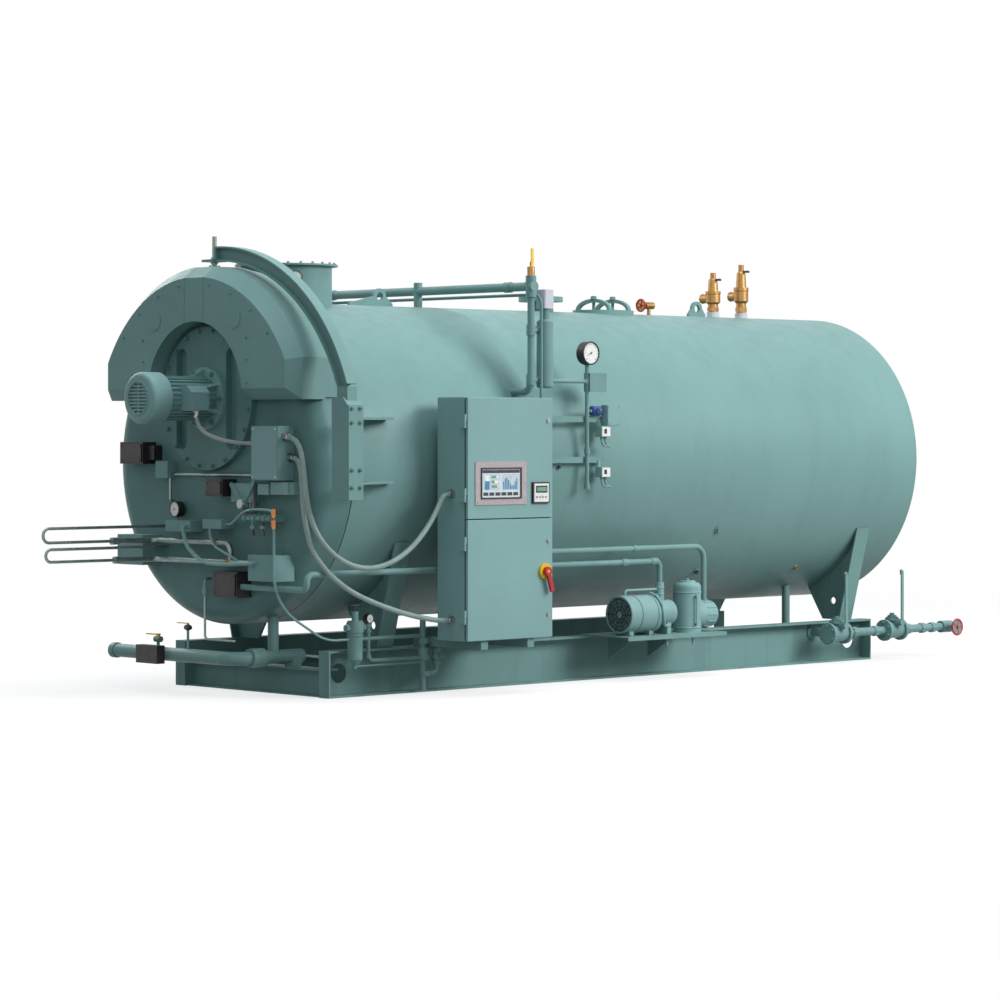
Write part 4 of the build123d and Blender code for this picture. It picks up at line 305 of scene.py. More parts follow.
# Flexible conduits, on the same routes as their solids
CONDUIT_UPPER = ((-3080, -838, 1690), (-3080, -920, 1690), (-3078, -990, 1620), (-3072, -1015, 1480),
                 (-3062, -1030, 1290), (-3035, -1065, 1110), (-2945, -1130, 950), (-2760, -1175, 850),
                 (-2540, -1190, 860), (-2340, -1205, 960), (-2190, -1225, 1120), (-2120, -1245, 1260),
                 (-2085, -1250, 1320), (-2017, -1250, 1320))
CONDUIT_LOWER = ((-3040, -838, 1560), (-3040, -905, 1560), (-3042, -950, 1490), (-3045, -962, 1360),
                 (-3042, -985, 1160), (-3030, -1035, 980), (-2960, -1110, 830), (-2790, -1150, 700),
                 (-2570, -1185, 610), (-2360, -1215, 545), (-2190, -1243, 510), (-2100, -1250, 500),
                 (-2017, -1250, 500))
MOTOR_CONDUIT = ((-3289, -191, 1858.5), (-3289, -191, 1790.5), (-3264, -241, 1715.5), (-3204, -341, 1670.5),
                 (-3120, -430, 1650), (-3090, -500, 1650), (-3090, -572, 1650))
CABINET_CONDUIT = 0.034
MOTOR_CONDUIT_WIDE = 0.026


def spline_length(curve):
    bare = curve.copy()
    bare.bevel_depth = 0.0
    probe = bpy.data.objects.new("probe", bare)
    bpy.context.scene.collection.objects.link(probe)
    bpy.context.view_layer.update()
    mesh = bpy.data.meshes.new_from_object(probe.evaluated_get(bpy.context.evaluated_depsgraph_get()))
    ends = [[mesh.vertices[v].co for v in edge.vertices] for edge in mesh.edges]
    length = sum((a - b).length for a, b in ends)
    bpy.data.objects.remove(probe)
    bpy.data.meshes.remove(mesh)
    return length


def flexible(name, node, route, diameter, material):
    points = [Vector(p) * MM for p in route]
    curve = bpy.data.curves.new(name, "CURVE")
    curve.dimensions = "3D"
    curve.bevel_depth = diameter / 2
    curve.bevel_resolution = 5
    curve.resolution_u = 10
    curve.use_fill_caps = True
    spline = curve.splines.new("NURBS")
    spline.points.add(len(points) - 1)
    for point, at in zip(spline.points, points):
        point.co = (*at, 1.0)
    spline.order_u = 3
    spline.use_endpoint_u = True
    obj = bpy.data.objects.new(name, curve)
    bpy.context.scene.collection.objects.link(obj)
    curve.materials.append(material)
    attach(obj, ROOT)
    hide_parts(node)
    length = spline_length(curve)


flexible("flexible_conduit_upper", "conduit_upper", CONDUIT_UPPER, CABINET_CONDUIT, M["conduit"])
flexible("flexible_conduit_lower", "conduit_lower", CONDUIT_LOWER, CABINET_CONDUIT, M["conduit"])
flexible("flexible_motor_conduit", "motor_conduit", MOTOR_CONDUIT, MOTOR_CONDUIT_WIDE, M["conduit_bare"])


# Meshes built from simple turned and boxed forms


class Piece:
    # One mesh of many small forms, each with a material of its own.
    def __init__(self, name):
        self.name = name
        self.bm = bmesh.new()
        self.keys = []
        self.index = 0

    def use(self, key):
        if key not in self.keys:
            self.keys.append(key)
        self.index = self.keys.index(key)
        return self

    def mark(self, verts):
        for face in {face for vert in verts for face in vert.link_faces}:
            face.material_index = self.index

    def box(self, low, high):
        low, high = Vector(low) * MM, Vector(high) * MM
        size = high - low
        place = Matrix.Translation((low + high) / 2) @ Matrix.Diagonal((*size, 1.0))
        self.mark(bmesh.ops.create_cube(self.bm, size=1.0, matrix=place)["verts"])
        return self

    def rod(self, start, end, radius, tip=None, sides=24):
        start, end = Vector(start) * MM, Vector(end) * MM
        run = end - start
        turn = run.to_track_quat("Z", "Y").to_matrix().to_4x4()
        place = Matrix.Translation((start + end) / 2) @ turn
        tip = radius if tip is None else tip
        made = bmesh.ops.create_cone(self.bm, cap_ends=True, segments=sides, radius1=radius * MM,
                                     radius2=tip * MM, depth=run.length, matrix=place)
        self.mark(made["verts"])
        return self

    def post(self, x, y, start, end, radius, tip=None, sides=24):
        # A rod that stands upright.
        return self.rod((x, y, start), (x, y, end), radius, tip, sides)

    def screws(self, spots, axis, deep, radius, tip):
        # Low tapered heads, all alike.
        for at in spots:
            self.rod(at, [a + d * deep for a, d in zip(at, axis)], radius, tip)
        return self

    def skin(self, pairs):
        # Four-sided faces between rings of points.
        for a, b in pairs:
            for k in range(len(a)):
                after = (k + 1) % len(a)
                self.bm.faces.new((a[k], a[after], b[after], b[k]))

    def ball(self, centre, radius, sides=20, rows=12):
        # Rings of points between two poles, in the same order on every run.
        centre, radius = Vector(centre) * MM, radius * MM
        rings = []
        for row in range(1, rows):
            a = math.pi * row / rows
            flat = around(sides, radius * math.sin(a))
            rings.append([self.bm.verts.new(centre + Vector((x, y, radius * math.cos(a)))) for x, y in flat])
        self.skin(zip(rings, rings[1:]))
        for ring, rise in ((rings[0], radius), (rings[-1], -radius)):
            pole = self.bm.verts.new(centre + Vector((0, 0, rise)))
            for k in range(sides):
                self.bm.faces.new((pole, ring[k], ring[(k + 1) % sides]))
        self.mark([v for ring in rings for v in ring])
        return self

    def tube(self, points, radius, sides=12, closed=False):
        points = [Vector(p) * MM for p in points]
        count = len(points)
        rings = []
        across = None
        for i, point in enumerate(points):
            ahead = points[(i + 1) % count] if closed or i + 1 < count else point
            behind = points[i - 1] if closed or i else point
            run = (ahead - behind).normalized()
            seed = across or (Vector((0, 0, 1)) if abs(run.z) < 0.9 else Vector((1, 0, 0)))
            across = (seed - run * seed.dot(run)).normalized()
            side = run.cross(across)
            turns = [2 * math.pi * k / sides for k in range(sides)]
            ring = [point + (across * math.cos(a) + side * math.sin(a)) * radius * MM for a in turns]
            rings.append([self.bm.verts.new(p) for p in ring])
        self.skin(list(zip(rings, rings[1:])) + ([(rings[-1], rings[0])] if closed else []))
        if not closed:
            self.bm.faces.new(list(reversed(rings[0])))
            self.bm.faces.new(rings[-1])
        self.mark([v for ring in rings for v in ring])
        return self

    def ring(self, centre, axis, radius, thick, steps=40, sides=10):
        centre = Vector(centre)
        turn = Vector(axis).to_track_quat("Z", "Y")
        spots = [2 * math.pi * k / steps for k in range(steps)]
        points = [centre + turn @ Vector((radius * math.cos(a), radius * math.sin(a), 0)) for a in spots]
        return self.tube(points, thick, sides, closed=True)

    def plate(self, corners):
        verts = [self.bm.verts.new(Vector(c) * MM) for c in corners]
        self.bm.faces.new(verts)
        self.mark(verts)
        return self

    def bolt(self, at, axis, width):
        # A hexagon head with a washer and the end of its thread.
        at, axis = Vector(at), Vector(axis).normalized()
        self.rod(at - axis, at + axis * width * 0.12, width * 0.72, sides=20)
        self.rod(at + axis * width * 0.12, at + axis * width * 0.72, width * 0.56, sides=6)
        self.rod(at + axis * width * 0.72, at + axis * width * 0.95, width * 0.28, width * 0.24, sides=12)
        return self

    def done(self, body=ROOT, slot=None):
        mesh = bpy.data.meshes.new(self.name)
        bmesh.ops.recalc_face_normals(self.bm, faces=self.bm.faces)
        self.bm.to_mesh(mesh)
        self.bm.free()
        for key in self.keys:
            mesh.materials.append(M[key])
        for polygon in mesh.polygons:
            polygon.use_smooth = True
        mesh.set_sharp_from_angle(angle=math.radians(35.0))
        obj = bpy.data.objects.new(self.name, mesh)
        bpy.context.scene.collection.objects.link(obj)
        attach(obj, body)


def around(count, radius, start=0.0):
    turns = [start + 2 * math.pi * k / count for k in range(count)]
    return [(radius * math.cos(a), radius * math.sin(a)) for a in turns]


# Places worked out from the frame, in millimetres


def span(node):
    low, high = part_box(node)
    return Vector(low) / MM, Vector(high) / MM


FRONT = (-1, 0, 0)
BACK = (1, 0, 0)
NEAR = (0, -1, 0)
UP = (0, 0, 1)
HEX = 6
OCTAGON = 8
SHELL_R = 1065.0
AXIS_Z = 1520.0
DOOR_X = span("front_door")[0].x
PLATE_LOW, PLATE_HIGH = span("burner_plate")
FAN_Z = (PLATE_LOW.z + PLATE_HIGH.z) / 2
STACK_LOW, STACK_HIGH = span("stack_outlet")
STACK_X = (STACK_LOW.x + STACK_HIGH.x) / 2
HEADER_LOW = span("steam_header")[0]
MANIFOLD_HIGH = span("gauge_manifold")[1]
GAUGE_X = MANIFOLD_HIGH.x - 160.0
SCREEN_LOW, SCREEN_HIGH = span("screen_panel")
MODULE_LOW, MODULE_HIGH = span("controller_module")
VALVES_LOW, VALVES_HIGH = span("blowdown_valves")
BRASS_HIGH = span("brass_valves")[1]
FITTINGS_LOW, FITTINGS_HIGH = span("rail_fittings")
STRAINER_AT = (FITTINGS_LOW.x + 50.0, FITTINGS_LOW.y + 50.0)
RISER_X = FITTINGS_HIGH.x - 25.0
BLOW_Y = -950.0
BLOW_Z = 225.0
COMPRESSOR_LOW, COMPRESSOR_HIGH = span("compressor")
COMPRESSOR_Y = (COMPRESSOR_LOW.y + COMPRESSOR_HIGH.y) / 2
COMPRESSOR_Z = 460.0
FILTER_X = 120.0
SHELF_Z = span("compressor_shelf")[1].z
BELL_Z = 435.5
AIR_Y = -1060.0
AIR_LOW_Z = 820.0
AIR_HIGH_Z = 912.0


# Bolts and nuts


def burner_bolts():
    circle, turn, width = 446.0, 0.16, 22.0
    flange_x, flange_circle, flange_bolt = span("motor_body")[1].x - 25.0, 182.0, 24.0
    # The bolt heads take the door's deeper sage, painted shade.
    p = Piece("burner_plate_bolts").use("door")
    for y, z in around(20, circle, turn):
        p.bolt((PLATE_LOW.x, y, FAN_Z + z), FRONT, width)
    for y, z in around(6, flange_circle, math.pi / 3):
        p.bolt((flange_x, y, FAN_Z + z), FRONT, flange_bolt)
    p.done(slot="tube_steel")


def stack_bolts():
    circle, turn, width = 326.0, 0.13, 16.0
    p = Piece("stack_flange_bolts").use("steel")
    for x, y in around(24, circle, turn):
        p.bolt((STACK_X + x, y, STACK_HIGH.z), UP, width)
    p.done(slot="tube_steel")


def manway_nuts():
    apart, nut, washer = 98.0, 22.0, 28.0
    p = Piece("manway_nuts").use("shell")
    low, high = span("manway_cover")
    middle = (low.x + high.x) / 2
    for x in (middle - apart, middle + apart):
        p.post(x, 0, high.z - 22, high.z - 2, nut, sides=HEX)
        p.post(x, 0, high.z - 24, high.z - 20, washer)
    p.done(slot="vessel_paint")


def davit_bolts():
    across, below_top, above_foot, width = (26, 95), (70, 160), (80, 190), 22.0
    p = Piece("davit_bolts").use("shroud")
    low, high = span("davit_post")
    for z in [high.z - drop for drop in below_top] + [low.z + rise for rise in above_foot]:
        for x in across:
            p.bolt((low.x + x, low.y, z), NEAR, width)
    p.done(slot="vessel_paint")


def blowdown_trim():
    # Flange bolts, bolted bonnets and the couplings of the blowdown line.
    half, flange_circle, flange_bolt = 100, 61.0, 15.0
    neck, plate, cap, bonnet_circle, bonnet_bolt = 34.0, 54.0, 20.0, 44.0, 11.0
    couplings, collar, hub = (2320, 2560, 2940, 3110, 3230), 39.0, 34.5
    p = Piece("blowdown_trim").use("pipe")
    y, z = BLOW_Y, BLOW_Z
    for middle in (VALVES_LOW.x + half, VALVES_HIGH.x - half):
        for end in (-1, 1):
            for across, up in around(6, flange_circle, math.pi / 6):
                p.bolt((middle + end * half, y + across, z + up), (end, 0, 0), flange_bolt)
        p.post(middle, y, z + 40, z + 112, neck)
        p.post(middle, y, z + 74, z + 90, plate, sides=32)
        p.post(middle, y, z + 112, z + 128, cap, sides=HEX)
        for across, along in around(6, bonnet_circle):
            p.bolt((middle + along, y + across, z + 90), UP, bonnet_bolt)
    for x in couplings:
        p.rod((x - 24, y, z), (x + 24, y, z), collar, sides=OCTAGON)
        p.rod((x - 30, y, z), (x + 30, y, z), hub)
    p.done(slot="pipe_paint")


def lever_knobs():
    ball, neck_long, neck, neck_top = 15.0, 26, 11.0, 13.0
    for body in LEVERS:
        low, high = span(body)
        x, y = (low.x + high.x) / 2, (low.y + high.y) / 2
        p = Piece(body + "_knob").use("pipe")
        p.ball((x, y, high.z), ball).post(x, y, high.z - neck_long, high.z, neck, neck_top)
        p.done(body, "lever_steel")


def strainer_trim():
    # Head with side bosses, tee handle and drain cone of the oil strainer on the near rail.
    head, bowl, boss, nut, drain = 57.0, 50.0, 19.0, 25.0, 13.0
    head_low, head_top, boss_z, seam_z = 424, 486, 454, 405
    bowl_z, cone_z, drain_z, stem_z, handle_z, handle = 250, 216, 190, 558, 600, 36
    p = Piece("strainer_trim").use("pipe")
    x, y = STRAINER_AT
    p.post(x, y, head_low, head_top, head, sides=36).ring((x, y, seam_z), UP, 51.0, 5.0)
    p.rod((x - 70, y, boss_z), (x + 70, y, boss_z), boss)
    p.rod((x - 80, y, boss_z), (x - 62, y, boss_z), nut, sides=HEX)
    p.rod((x + 62, y, boss_z), (x + 80, y, boss_z), nut, sides=HEX)
    p.post(x, y, bowl_z, cone_z, bowl, 20.0, 36).post(x, y, cone_z, drain_z, drain, sides=HEX)
    for across, along in around(4, 46.0, math.pi / 4):
        p.bolt((x + across, y + along, head_top), UP, 12.0)
    p.use("dark_steel").post(x, y, stem_z, handle_z, 7.0)
    p.rod((x - handle, y, handle_z), (x + handle, y, handle_z), 6.5)
    p.done(slot="pipe_paint")


def rail_piping():
    # Two lines along the rail from the strainer to the riser, a gauge on its stem, a valve loop.
    line_z, drain_z, gauge_z, gauge_r = 236, 204, 510, 32.0
    loop_top, loop_low, valve_z, loop_out = 345, 130, 237, 112.0
    p = Piece("rail_piping").use("pipe")
    x, y = STRAINER_AT
    stem, riser, side = x + 114.0, RISER_X, RISER_X + loop_out
    p.tube([(riser, y, line_z), (stem + 44, y, line_z), (stem + 22, y, line_z + 4),
            (stem + 6, y, line_z + 16), (stem, y, line_z + 38), (stem, y, gauge_z - 28)], 13.0, 16)
    p.tube([(riser, y, drain_z + 2), (x + 30, y, drain_z), (x, y, drain_z)], 8.0)
    for z in (252, 418, 456):
        p.post(stem, y, z, z + 22, 20.0, sides=HEX)
    for z in (loop_low, line_z, loop_top):
        p.post(riser, y, z - 18, z + 18, 36.0, sides=OCTAGON)
    p.tube([(riser, y, loop_top), (side - 40, y, loop_top), (side - 14, y, loop_top - 9),
            (side, y, loop_top - 33), (side, y, loop_low + 33), (side - 14, y, loop_low + 9),
            (side - 40, y, loop_low), (riser, y, loop_low)], 18.0, 16)
    for z in (196, 278):
        p.post(side, y, z - 14, z + 14, 29.0, sides=OCTAGON)
    p.ball((side, y, valve_z), 34.0).rod((side, y, valve_z), (side, y - 62, valve_z), 14.0)
    p.use("black").rod((stem, y + 14, gauge_z), (stem, y - 16, gauge_z), gauge_r, sides=36)
    p.done(slot="pipe_paint")
    dial("rail_gauge_face", (stem, y - 16, gauge_z), NEAR, gauge_r - 2)


def compressor_trim():
    # Straps, crossover tube, foot bolts, drains and filter collars of the compressor.
    drum_r, strap, filter_r, tube_r, foot_bolt, drain_r = 132.0, 5.0, 31.0, 11.0, 13.0, 10.0
    loop = ((300, -10, 140), (300, -74, 122), (302, -124, 66), (306, -138, -6), (322, -124, -62),
            (350, -104, -84), (420, -84, -88))
    p = Piece("compressor_trim").use("motor")
    x, y, z = COMPRESSOR_LOW.x, COMPRESSOR_Y, COMPRESSOR_Z
    for along in (110, 268):
        p.ring((x + along, y, z), BACK, drum_r, strap, 56)
    p.tube([(x + a, y + b, z + c) for a, b, c in loop], tube_r, 14)
    for collar_z in (590.0, 636.0):
        p.ring((FILTER_X, y, collar_z), UP, filter_r, strap, 32)
    p.use("steel")
    for along in (40, 272, 454):
        for across in (-82, 82):
            p.bolt((x + along, y + across, SHELF_Z), UP, foot_bolt)
    p.use("tube_paint")
    for drain_x in (95.0, 360.0):
        p.post(drain_x, y - 96, SHELF_Z - 8, SHELF_Z - 76, drain_r)
    p.done(slot="motor_paint")


def tank_trim():
    # Bands, lid, sight glass and the ribbed end bell of the separator tank.
    tank_r, band, lid, lid_top, cap = 98.0, 5.0, 64.0, 58.0, 15.0
    bell_r, rib, bell_circle, bell_bolt = 95.0, 6.0, 50.0, 11.0
    p = Piece("tank_trim").use("motor")
    low, high = span("compressor_tank")
    x, y, top, end = low.x + tank_r, (low.y + high.y) / 2, high.z, high.x
    glass_x, glass_y = x - 20, y - 112
    for z in (346.0, 594.0):
        p.ring((x, y, z), UP, tank_r, band, 48)
    p.post(x, y, top - 6, top + 12, lid, lid_top, 40).post(x, y, top + 12, top + 26, cap, sides=HEX)
    for across, up in around(12, bell_r):
        p.rod((end - 118, y + across, BELL_Z + up), (end - 34, y + across, BELL_Z + up), rib, sides=OCTAGON)
    for across, up in around(8, bell_circle):
        p.bolt((end, y + across, BELL_Z + up), BACK, bell_bolt)
    p.use("steel")
    for z in (372.0, 566.0):
        p.rod((glass_x, y - 90, z), (glass_x, y - 118, z), 9.0, sides=HEX)
    p.use("tube_paint").post(glass_x, glass_y, 366, 572, 6.0)
    p.done(slot="motor_paint")


def air_fittings():
    # Unions on the low air line and a hanger on the high one.
    nut, hub, clip, clip_x, hanger = 26.0, 23.5, 24.0, -130.0, 190
    p = Piece("air_fittings").use("pipe")
    y = AIR_Y
    for x in (-227.0, 62.0):
        p.rod((x - 26, y, AIR_LOW_Z), (x + 26, y, AIR_LOW_Z), nut, sides=OCTAGON)
        p.rod((x - 34, y, AIR_LOW_Z), (x + 34, y, AIR_LOW_Z), hub)
    p.rod((clip_x - 14, y, AIR_HIGH_Z), (clip_x + 14, y, AIR_HIGH_Z), clip)
    p.box((clip_x - 10, y, AIR_HIGH_Z - 4), (clip_x + 10, y + hanger, AIR_HIGH_Z + 4))
    p.done(slot="pipe_paint")


def rear_bolts():
    plug_circle, plug_bolt, head_circle, head_bolt, lip = 196.0, 26.0, 945.0, 24.0, 50.0
    p = Piece("rear_head_bolts").use("steel")
    end = span("rear_head")[1].x
    for y, z in around(12, plug_circle):
        p.bolt((end, y, AXIS_Z + z), BACK, plug_bolt)
    for y, z in around(36, head_circle):
        p.bolt((end - lip, y, AXIS_Z + z), BACK, head_bolt)
    p.done(slot="tube_steel")


def shroud_bolts():
    rim_r, rim_z, inner_y, width = 1018, 1672, 545, 13.0
    p = Piece("shroud_screws").use("shroud")
    face = span("fan_shroud")[0].x + 4.0
    for side in (-1, 1):
        for degrees in (9, 22, 35, 48):
            a = math.radians(degrees)
            p.bolt((face, side * rim_r * math.sin(a), rim_z + rim_r * math.cos(a)), FRONT, width)
        for z in (2040, 2190, 2330):
            p.bolt((face, side * inner_y, z), FRONT, width)
    p.done(slot="tube_steel")


# Dials, screen and panels


def dial(name, centre, out, radius):
    # A white face with ticks and a pointer, in a dark bezel.
    ticks, first, sweep, pointer = 24, 225, 270, 208
    out, up, centre = Vector(out).normalized(), Vector(UP), Vector(centre)
    side = up.cross(out)

    def at(across, rise, depth):
        return centre + side * across + up * rise + out * depth

    p = Piece(name).use("white")
    p.rod(centre - out, centre + out * 2, radius * 0.9, sides=48)
    p.use("black")
    p.ring(centre + out * 3, out, radius * 0.95, radius * 0.07, 48)
    for k in range(ticks + 1):
        a = math.radians(first - sweep * k / ticks)
        inner, share = (0.66, 0.018) if k % 4 == 0 else (0.74, 0.01)
        wide = radius * share
        ends = [Vector((math.cos(a), math.sin(a))) * radius * r for r in (inner, 0.82)]
        across = Vector((-math.sin(a), math.cos(a))) * wide
        corners = (ends[0] - across, ends[1] - across, ends[1] + across, ends[0] + across)
        p.plate([at(c.x, c.y, 2.6) for c in corners])
    a = math.radians(pointer)
    tip = Vector((math.cos(a), math.sin(a))) * radius * 0.7
    tail = tip * -0.28
    across = Vector((-math.sin(a), math.cos(a))) * radius * 0.035
    p.plate([at(*(tail - across), 3.4), at(*tip, 3.4), at(*(tail + across), 3.4)])
    p.rod(at(0, 0, 2), at(0, 0, 5), radius * 0.08)
    p.done(slot="gauge_case")


def operator_screen():
    # A generic plant page: header, vessel level, two trend bars and a row of keys, in shares of the page.
    page = (("screen_back", 0, 1, 0, 1, 0.0), ("screen_bar", 0.02, 0.98, 0.86, 0.97, 0.4),
            ("screen_panel", 0.04, 0.46, 0.24, 0.82, 0.4), ("screen_panel", 0.52, 0.96, 0.24, 0.82, 0.4),
            ("screen_water", 0.08, 0.2, 0.28, 0.58, 0.8), ("screen_pale", 0.08, 0.2, 0.58, 0.78, 0.8))
    side_edge, foot_edge = 56, 48
    x0, x1 = SCREEN_LOW.x + side_edge, SCREEN_HIGH.x - side_edge
    z0, z1 = SCREEN_LOW.z + foot_edge, SCREEN_HIGH.z - foot_edge
    y = SCREEN_LOW.y + 2.0
    p = Piece("operator_screen")

    def patch(key, a, b, c, d, lift):
        wide, tall = x1 - x0, z1 - z0
        p.use(key)
        left, right, low, high = x0 + a * wide, x0 + b * wide, z0 + c * tall, z0 + d * tall
        face = y - lift
        p.plate([(left, face, low), (right, face, low), (right, face, high), (left, face, high)])

    for row in page:
        patch(*row)
    for k, share in enumerate((0.7, 0.45, 0.85)):
        low = 0.68 - 0.17 * k
        patch("screen_pale", 0.25, 0.43, low, low + 0.09, 0.8)
        patch("screen_green", 0.25, 0.25 + 0.18 * share, low, low + 0.09, 1.2)
    for k in range(9):
        tall = 0.12 + 0.3 * (0.5 + 0.5 * math.sin(k * 0.9))
        patch("screen_water", 0.55 + 0.043 * k, 0.58 + 0.043 * k, 0.28, 0.28 + tall, 0.8)
    for k in range(6):
        patch("screen_bar", 0.04 + 0.155 * k, 0.17 + 0.155 * k, 0.06, 0.18, 0.4)
    p.done(UPPER, "panel_grey")


def screen_frame():
    side_edge, foot_edge, edge, inset = 46, 38, 10.0, 16
    p = Piece("screen_frame").use("black")
    x0, x1 = SCREEN_LOW.x + side_edge, SCREEN_HIGH.x - side_edge
    z0, z1 = SCREEN_LOW.z + foot_edge, SCREEN_HIGH.z - foot_edge
    near, far = SCREEN_LOW.y - 5, SCREEN_LOW.y
    p.box((x0, near, z0), (x1, far, z0 + edge)).box((x0, near, z1 - edge), (x1, far, z1))
    p.box((x0, near, z0 + edge), (x0 + edge, far, z1 - edge))
    p.box((x1 - edge, near, z0 + edge), (x1, far, z1 - edge))
    p.use("steel")
    heights = (SCREEN_LOW.z + inset, (SCREEN_LOW.z + SCREEN_HIGH.z) / 2, SCREEN_HIGH.z - inset)
    for x in (SCREEN_LOW.x + inset, SCREEN_HIGH.x - inset):
        p.screws([(x, far, z) for z in heights], NEAR, 3, 5.5, 4.0)
    p.done(UPPER, "panel_grey")


def module_face():
    p = Piece("controller_face")
    low, high, y = MODULE_LOW, MODULE_HIGH, MODULE_LOW.y
    p.use("white").box((low.x + 10, y - 3, low.z + 10), (high.x - 10, y, high.z - 10))
    p.use("black").box((low.x + 24, y - 5, low.z + 70), (high.x - 24, y - 3, high.z - 24))
    p.use("screen_green").box((low.x + 32, y - 6, low.z + 80), (high.x - 32, y - 5, high.z - 34))
    key_x, key_z, apart = low.x + 34, low.z + 42, 27
    p.use("plate").screws([(key_x + apart * k, y - 3, key_z) for k in range(4)], NEAR, 4, 9.0, 8.0)
    p.done(UPPER, "panel_grey")


def door_latches(body, name):
    # Two turn latches on a cabinet door.
    from_end, from_edge = 150, 42
    low, high = span(body)
    p = Piece(name).use("steel")
    x, y = high.x - from_edge, low.y
    for z in (low.z + from_end, high.z - from_end):
        p.rod((x, y, z), (x, y - 6, z), 17.0, 15.0, 28)
        p.rod((x, y - 6, z), (x, y - 10, z), 10.0, 9.0, 20)
    p.done(body, "tube_steel")


# Valves, wheels and levers


def handwheel(name, centre, axis, radius):
    # A red wheel with five spokes, a hub and a nut, all in shares of its radius.
    spokes = 5
    centre, axis = Vector(centre), Vector(axis).normalized()
    p = Piece(name).use("red")
    p.ring(centre, axis, radius, radius * 0.14, 44, 12)
    p.rod(centre - axis * radius * 0.12, centre + axis * radius * 0.16, radius * 0.26, radius * 0.22)
    turn = axis.to_track_quat("Z", "Y")
    for k in range(spokes):
        a = 2 * math.pi * k / spokes
        spoke = turn @ Vector((math.cos(a), math.sin(a), 0)) * radius
        p.rod(centre, centre + spoke, radius * 0.1, radius * 0.08, 10)
    p.use("steel").rod(centre + axis * radius * 0.16, centre + axis * radius * 0.3, radius * 0.12, sides=HEX)
    p.done(slot="handle_red")


def safety_valve_trim():
    # Hexagons, bonnet ring, outlet nut and lifting lever of each safety valve.
    body_r, low_tall, nut, ring, outlet = 55.2, 298.0, 46.0, 58.0, 38.0
    p = Piece("safety_valve_trim")
    low, high = span("safety_valves")
    base = low.z
    for x, top in ((low.x + body_r, base + low_tall), (high.x - body_r, high.z)):
        tall = top - base
        p.use("bronze")
        p.post(x, 0, base + 0.03 * tall, base + 0.12 * tall, nut, sides=HEX)
        p.post(x, 0, base + 0.46 * tall, base + 0.53 * tall, ring, sides=28)
        p.use("dark_steel")
        p.box((x - 5, -74, top - 62), (x + 5, 26, top - 46))
        p.rod((x - 9, -70, top - 54), (x + 9, -70, top - 54), 9.0)
        outlet_z = base + 0.35 * tall
        p.use("bronze").rod((x, 100, outlet_z), (x, 112, outlet_z), outlet, sides=OCTAGON)
    p.done(slot="bronze")


def ball_valve_lever():
    wide, rise, hub, nut = 11, 90, 17.0, 8.0
    p = Piece("ball_valve_lever").use("yellow")
    x, y, top = HEADER_LOW.x + 36, -1132.0, BRASS_HIGH.z
    pin = top - 50
    p.box((x - wide, y - 16, top - 60), (x + wide, y - 9, top + rise))
    p.rod((x, y - 17, pin), (x, y - 8, pin), hub)
    p.use("steel").rod((x, y - 26, pin), (x, y, pin), nut, sides=HEX)
    p.done(slot="handle_yellow")


def gas_cock_levers():
    wide, pin_y, hub = 12, 470, 13.0
    p = Piece("gas_cock_levers").use("yellow")
    x = DOOR_X - 80.0
    p.box((x - wide, 455, 372), (x + wide, 590, 380)).post(x, pin_y, 360, 382, hub)
    p.done(slot="handle_yellow")


def pilot_valve():
    # A small cock on its own riser from the gas main.
    main_z, riser, body, ball, stem, wide, lever = 286, 9.0, 16.0, 22.0, 8.0, 9, 110
    p = Piece("pilot_valve")
    x, y, z = DOOR_X - 80.0, 150.0, 436.0
    p.use("tube_paint").post(x, y, main_z, z, riser)
    p.use("dark_steel").rod((x, y - 26, z), (x, y + 26, z), body, sides=OCTAGON)
    p.ball((x, y, z), ball)
    p.use("yellow").box((x - wide, y + 6, z + 24), (x + wide, y + lever, z + 30))
    p.post(x, y, z + 16, z + 31, stem)
    p.done(slot="pipe_paint")


def spring_points(y, low, high, turns, radius, x):
    steps = turns * 12
    spots = [(2 * math.pi * turns * k / steps, low + (high - low) * k / steps) for k in range(steps + 1)]
    return [(x + radius * math.cos(a), y + radius * math.sin(a), z) for a, z in spots]


def linkage_springs():
    # Return springs and threaded rods beside the fuel linkage, between an upper and a lower pin.
    springs, rods, turns = (-445, -475, -505), (-424, -526), 11
    top, low, rod_low = 1392.0, 1200.0, 1168
    cam_y, cam_z = -415, 1258
    x = DOOR_X - 60.0
    p = Piece("linkage_springs").use("dark_steel")
    for z in (top, low):
        p.rod((x, -530, z), (x, -420, z), 7.0)
    for y in springs:
        p.use("steel").tube(spring_points(y, low + 34, top - 24, turns, 9.0, x), 2.4, 8)
        p.use("dark_steel").post(x, y, low, low + 36, 4.0).post(x, y, top - 26, top, 4.0)
    for y in rods:
        p.post(x, y, rod_low, top + 8, 5.0)
        for z in (low + 12, low + 60, top - 12):
            p.post(x, y, z - 5, z + 5, 11.0, sides=HEX)
    p.use("steel").rod((DOOR_X - 94, cam_y, cam_z), (DOOR_X - 102, cam_y, cam_z), 32.0, 29.0, 32)
    p.done(slot="tube_steel")


def fitting_train():
    # Unions and nipples in a row along the upper fuel valve, with two small cocks under it.
    unions = ((-492, 25), (-540, 21), (-588, 27), (-640, 21), (-690, 25), (-740, 22))
    cocks = (-565, -665)
    p = Piece("fuel_fittings").use("pipe")
    x, z = DOOR_X - 112.0, 1169.0
    p.rod((x, -770, z), (x, -470, z), 15.0)
    for y, radius in unions:
        p.rod((x, y - 11, z), (x, y + 11, z), radius, sides=HEX)
    for y in cocks:
        p.post(x, y, z, z - 70, 10.0)
        p.use("tube_paint").post(x, y, z - 66, z - 48, 18.0, sides=HEX)
        p.use("dark_steel").post(x, y, z - 110, z - 66, 13.0, 9.0)
    p.done(slot="pipe_paint")


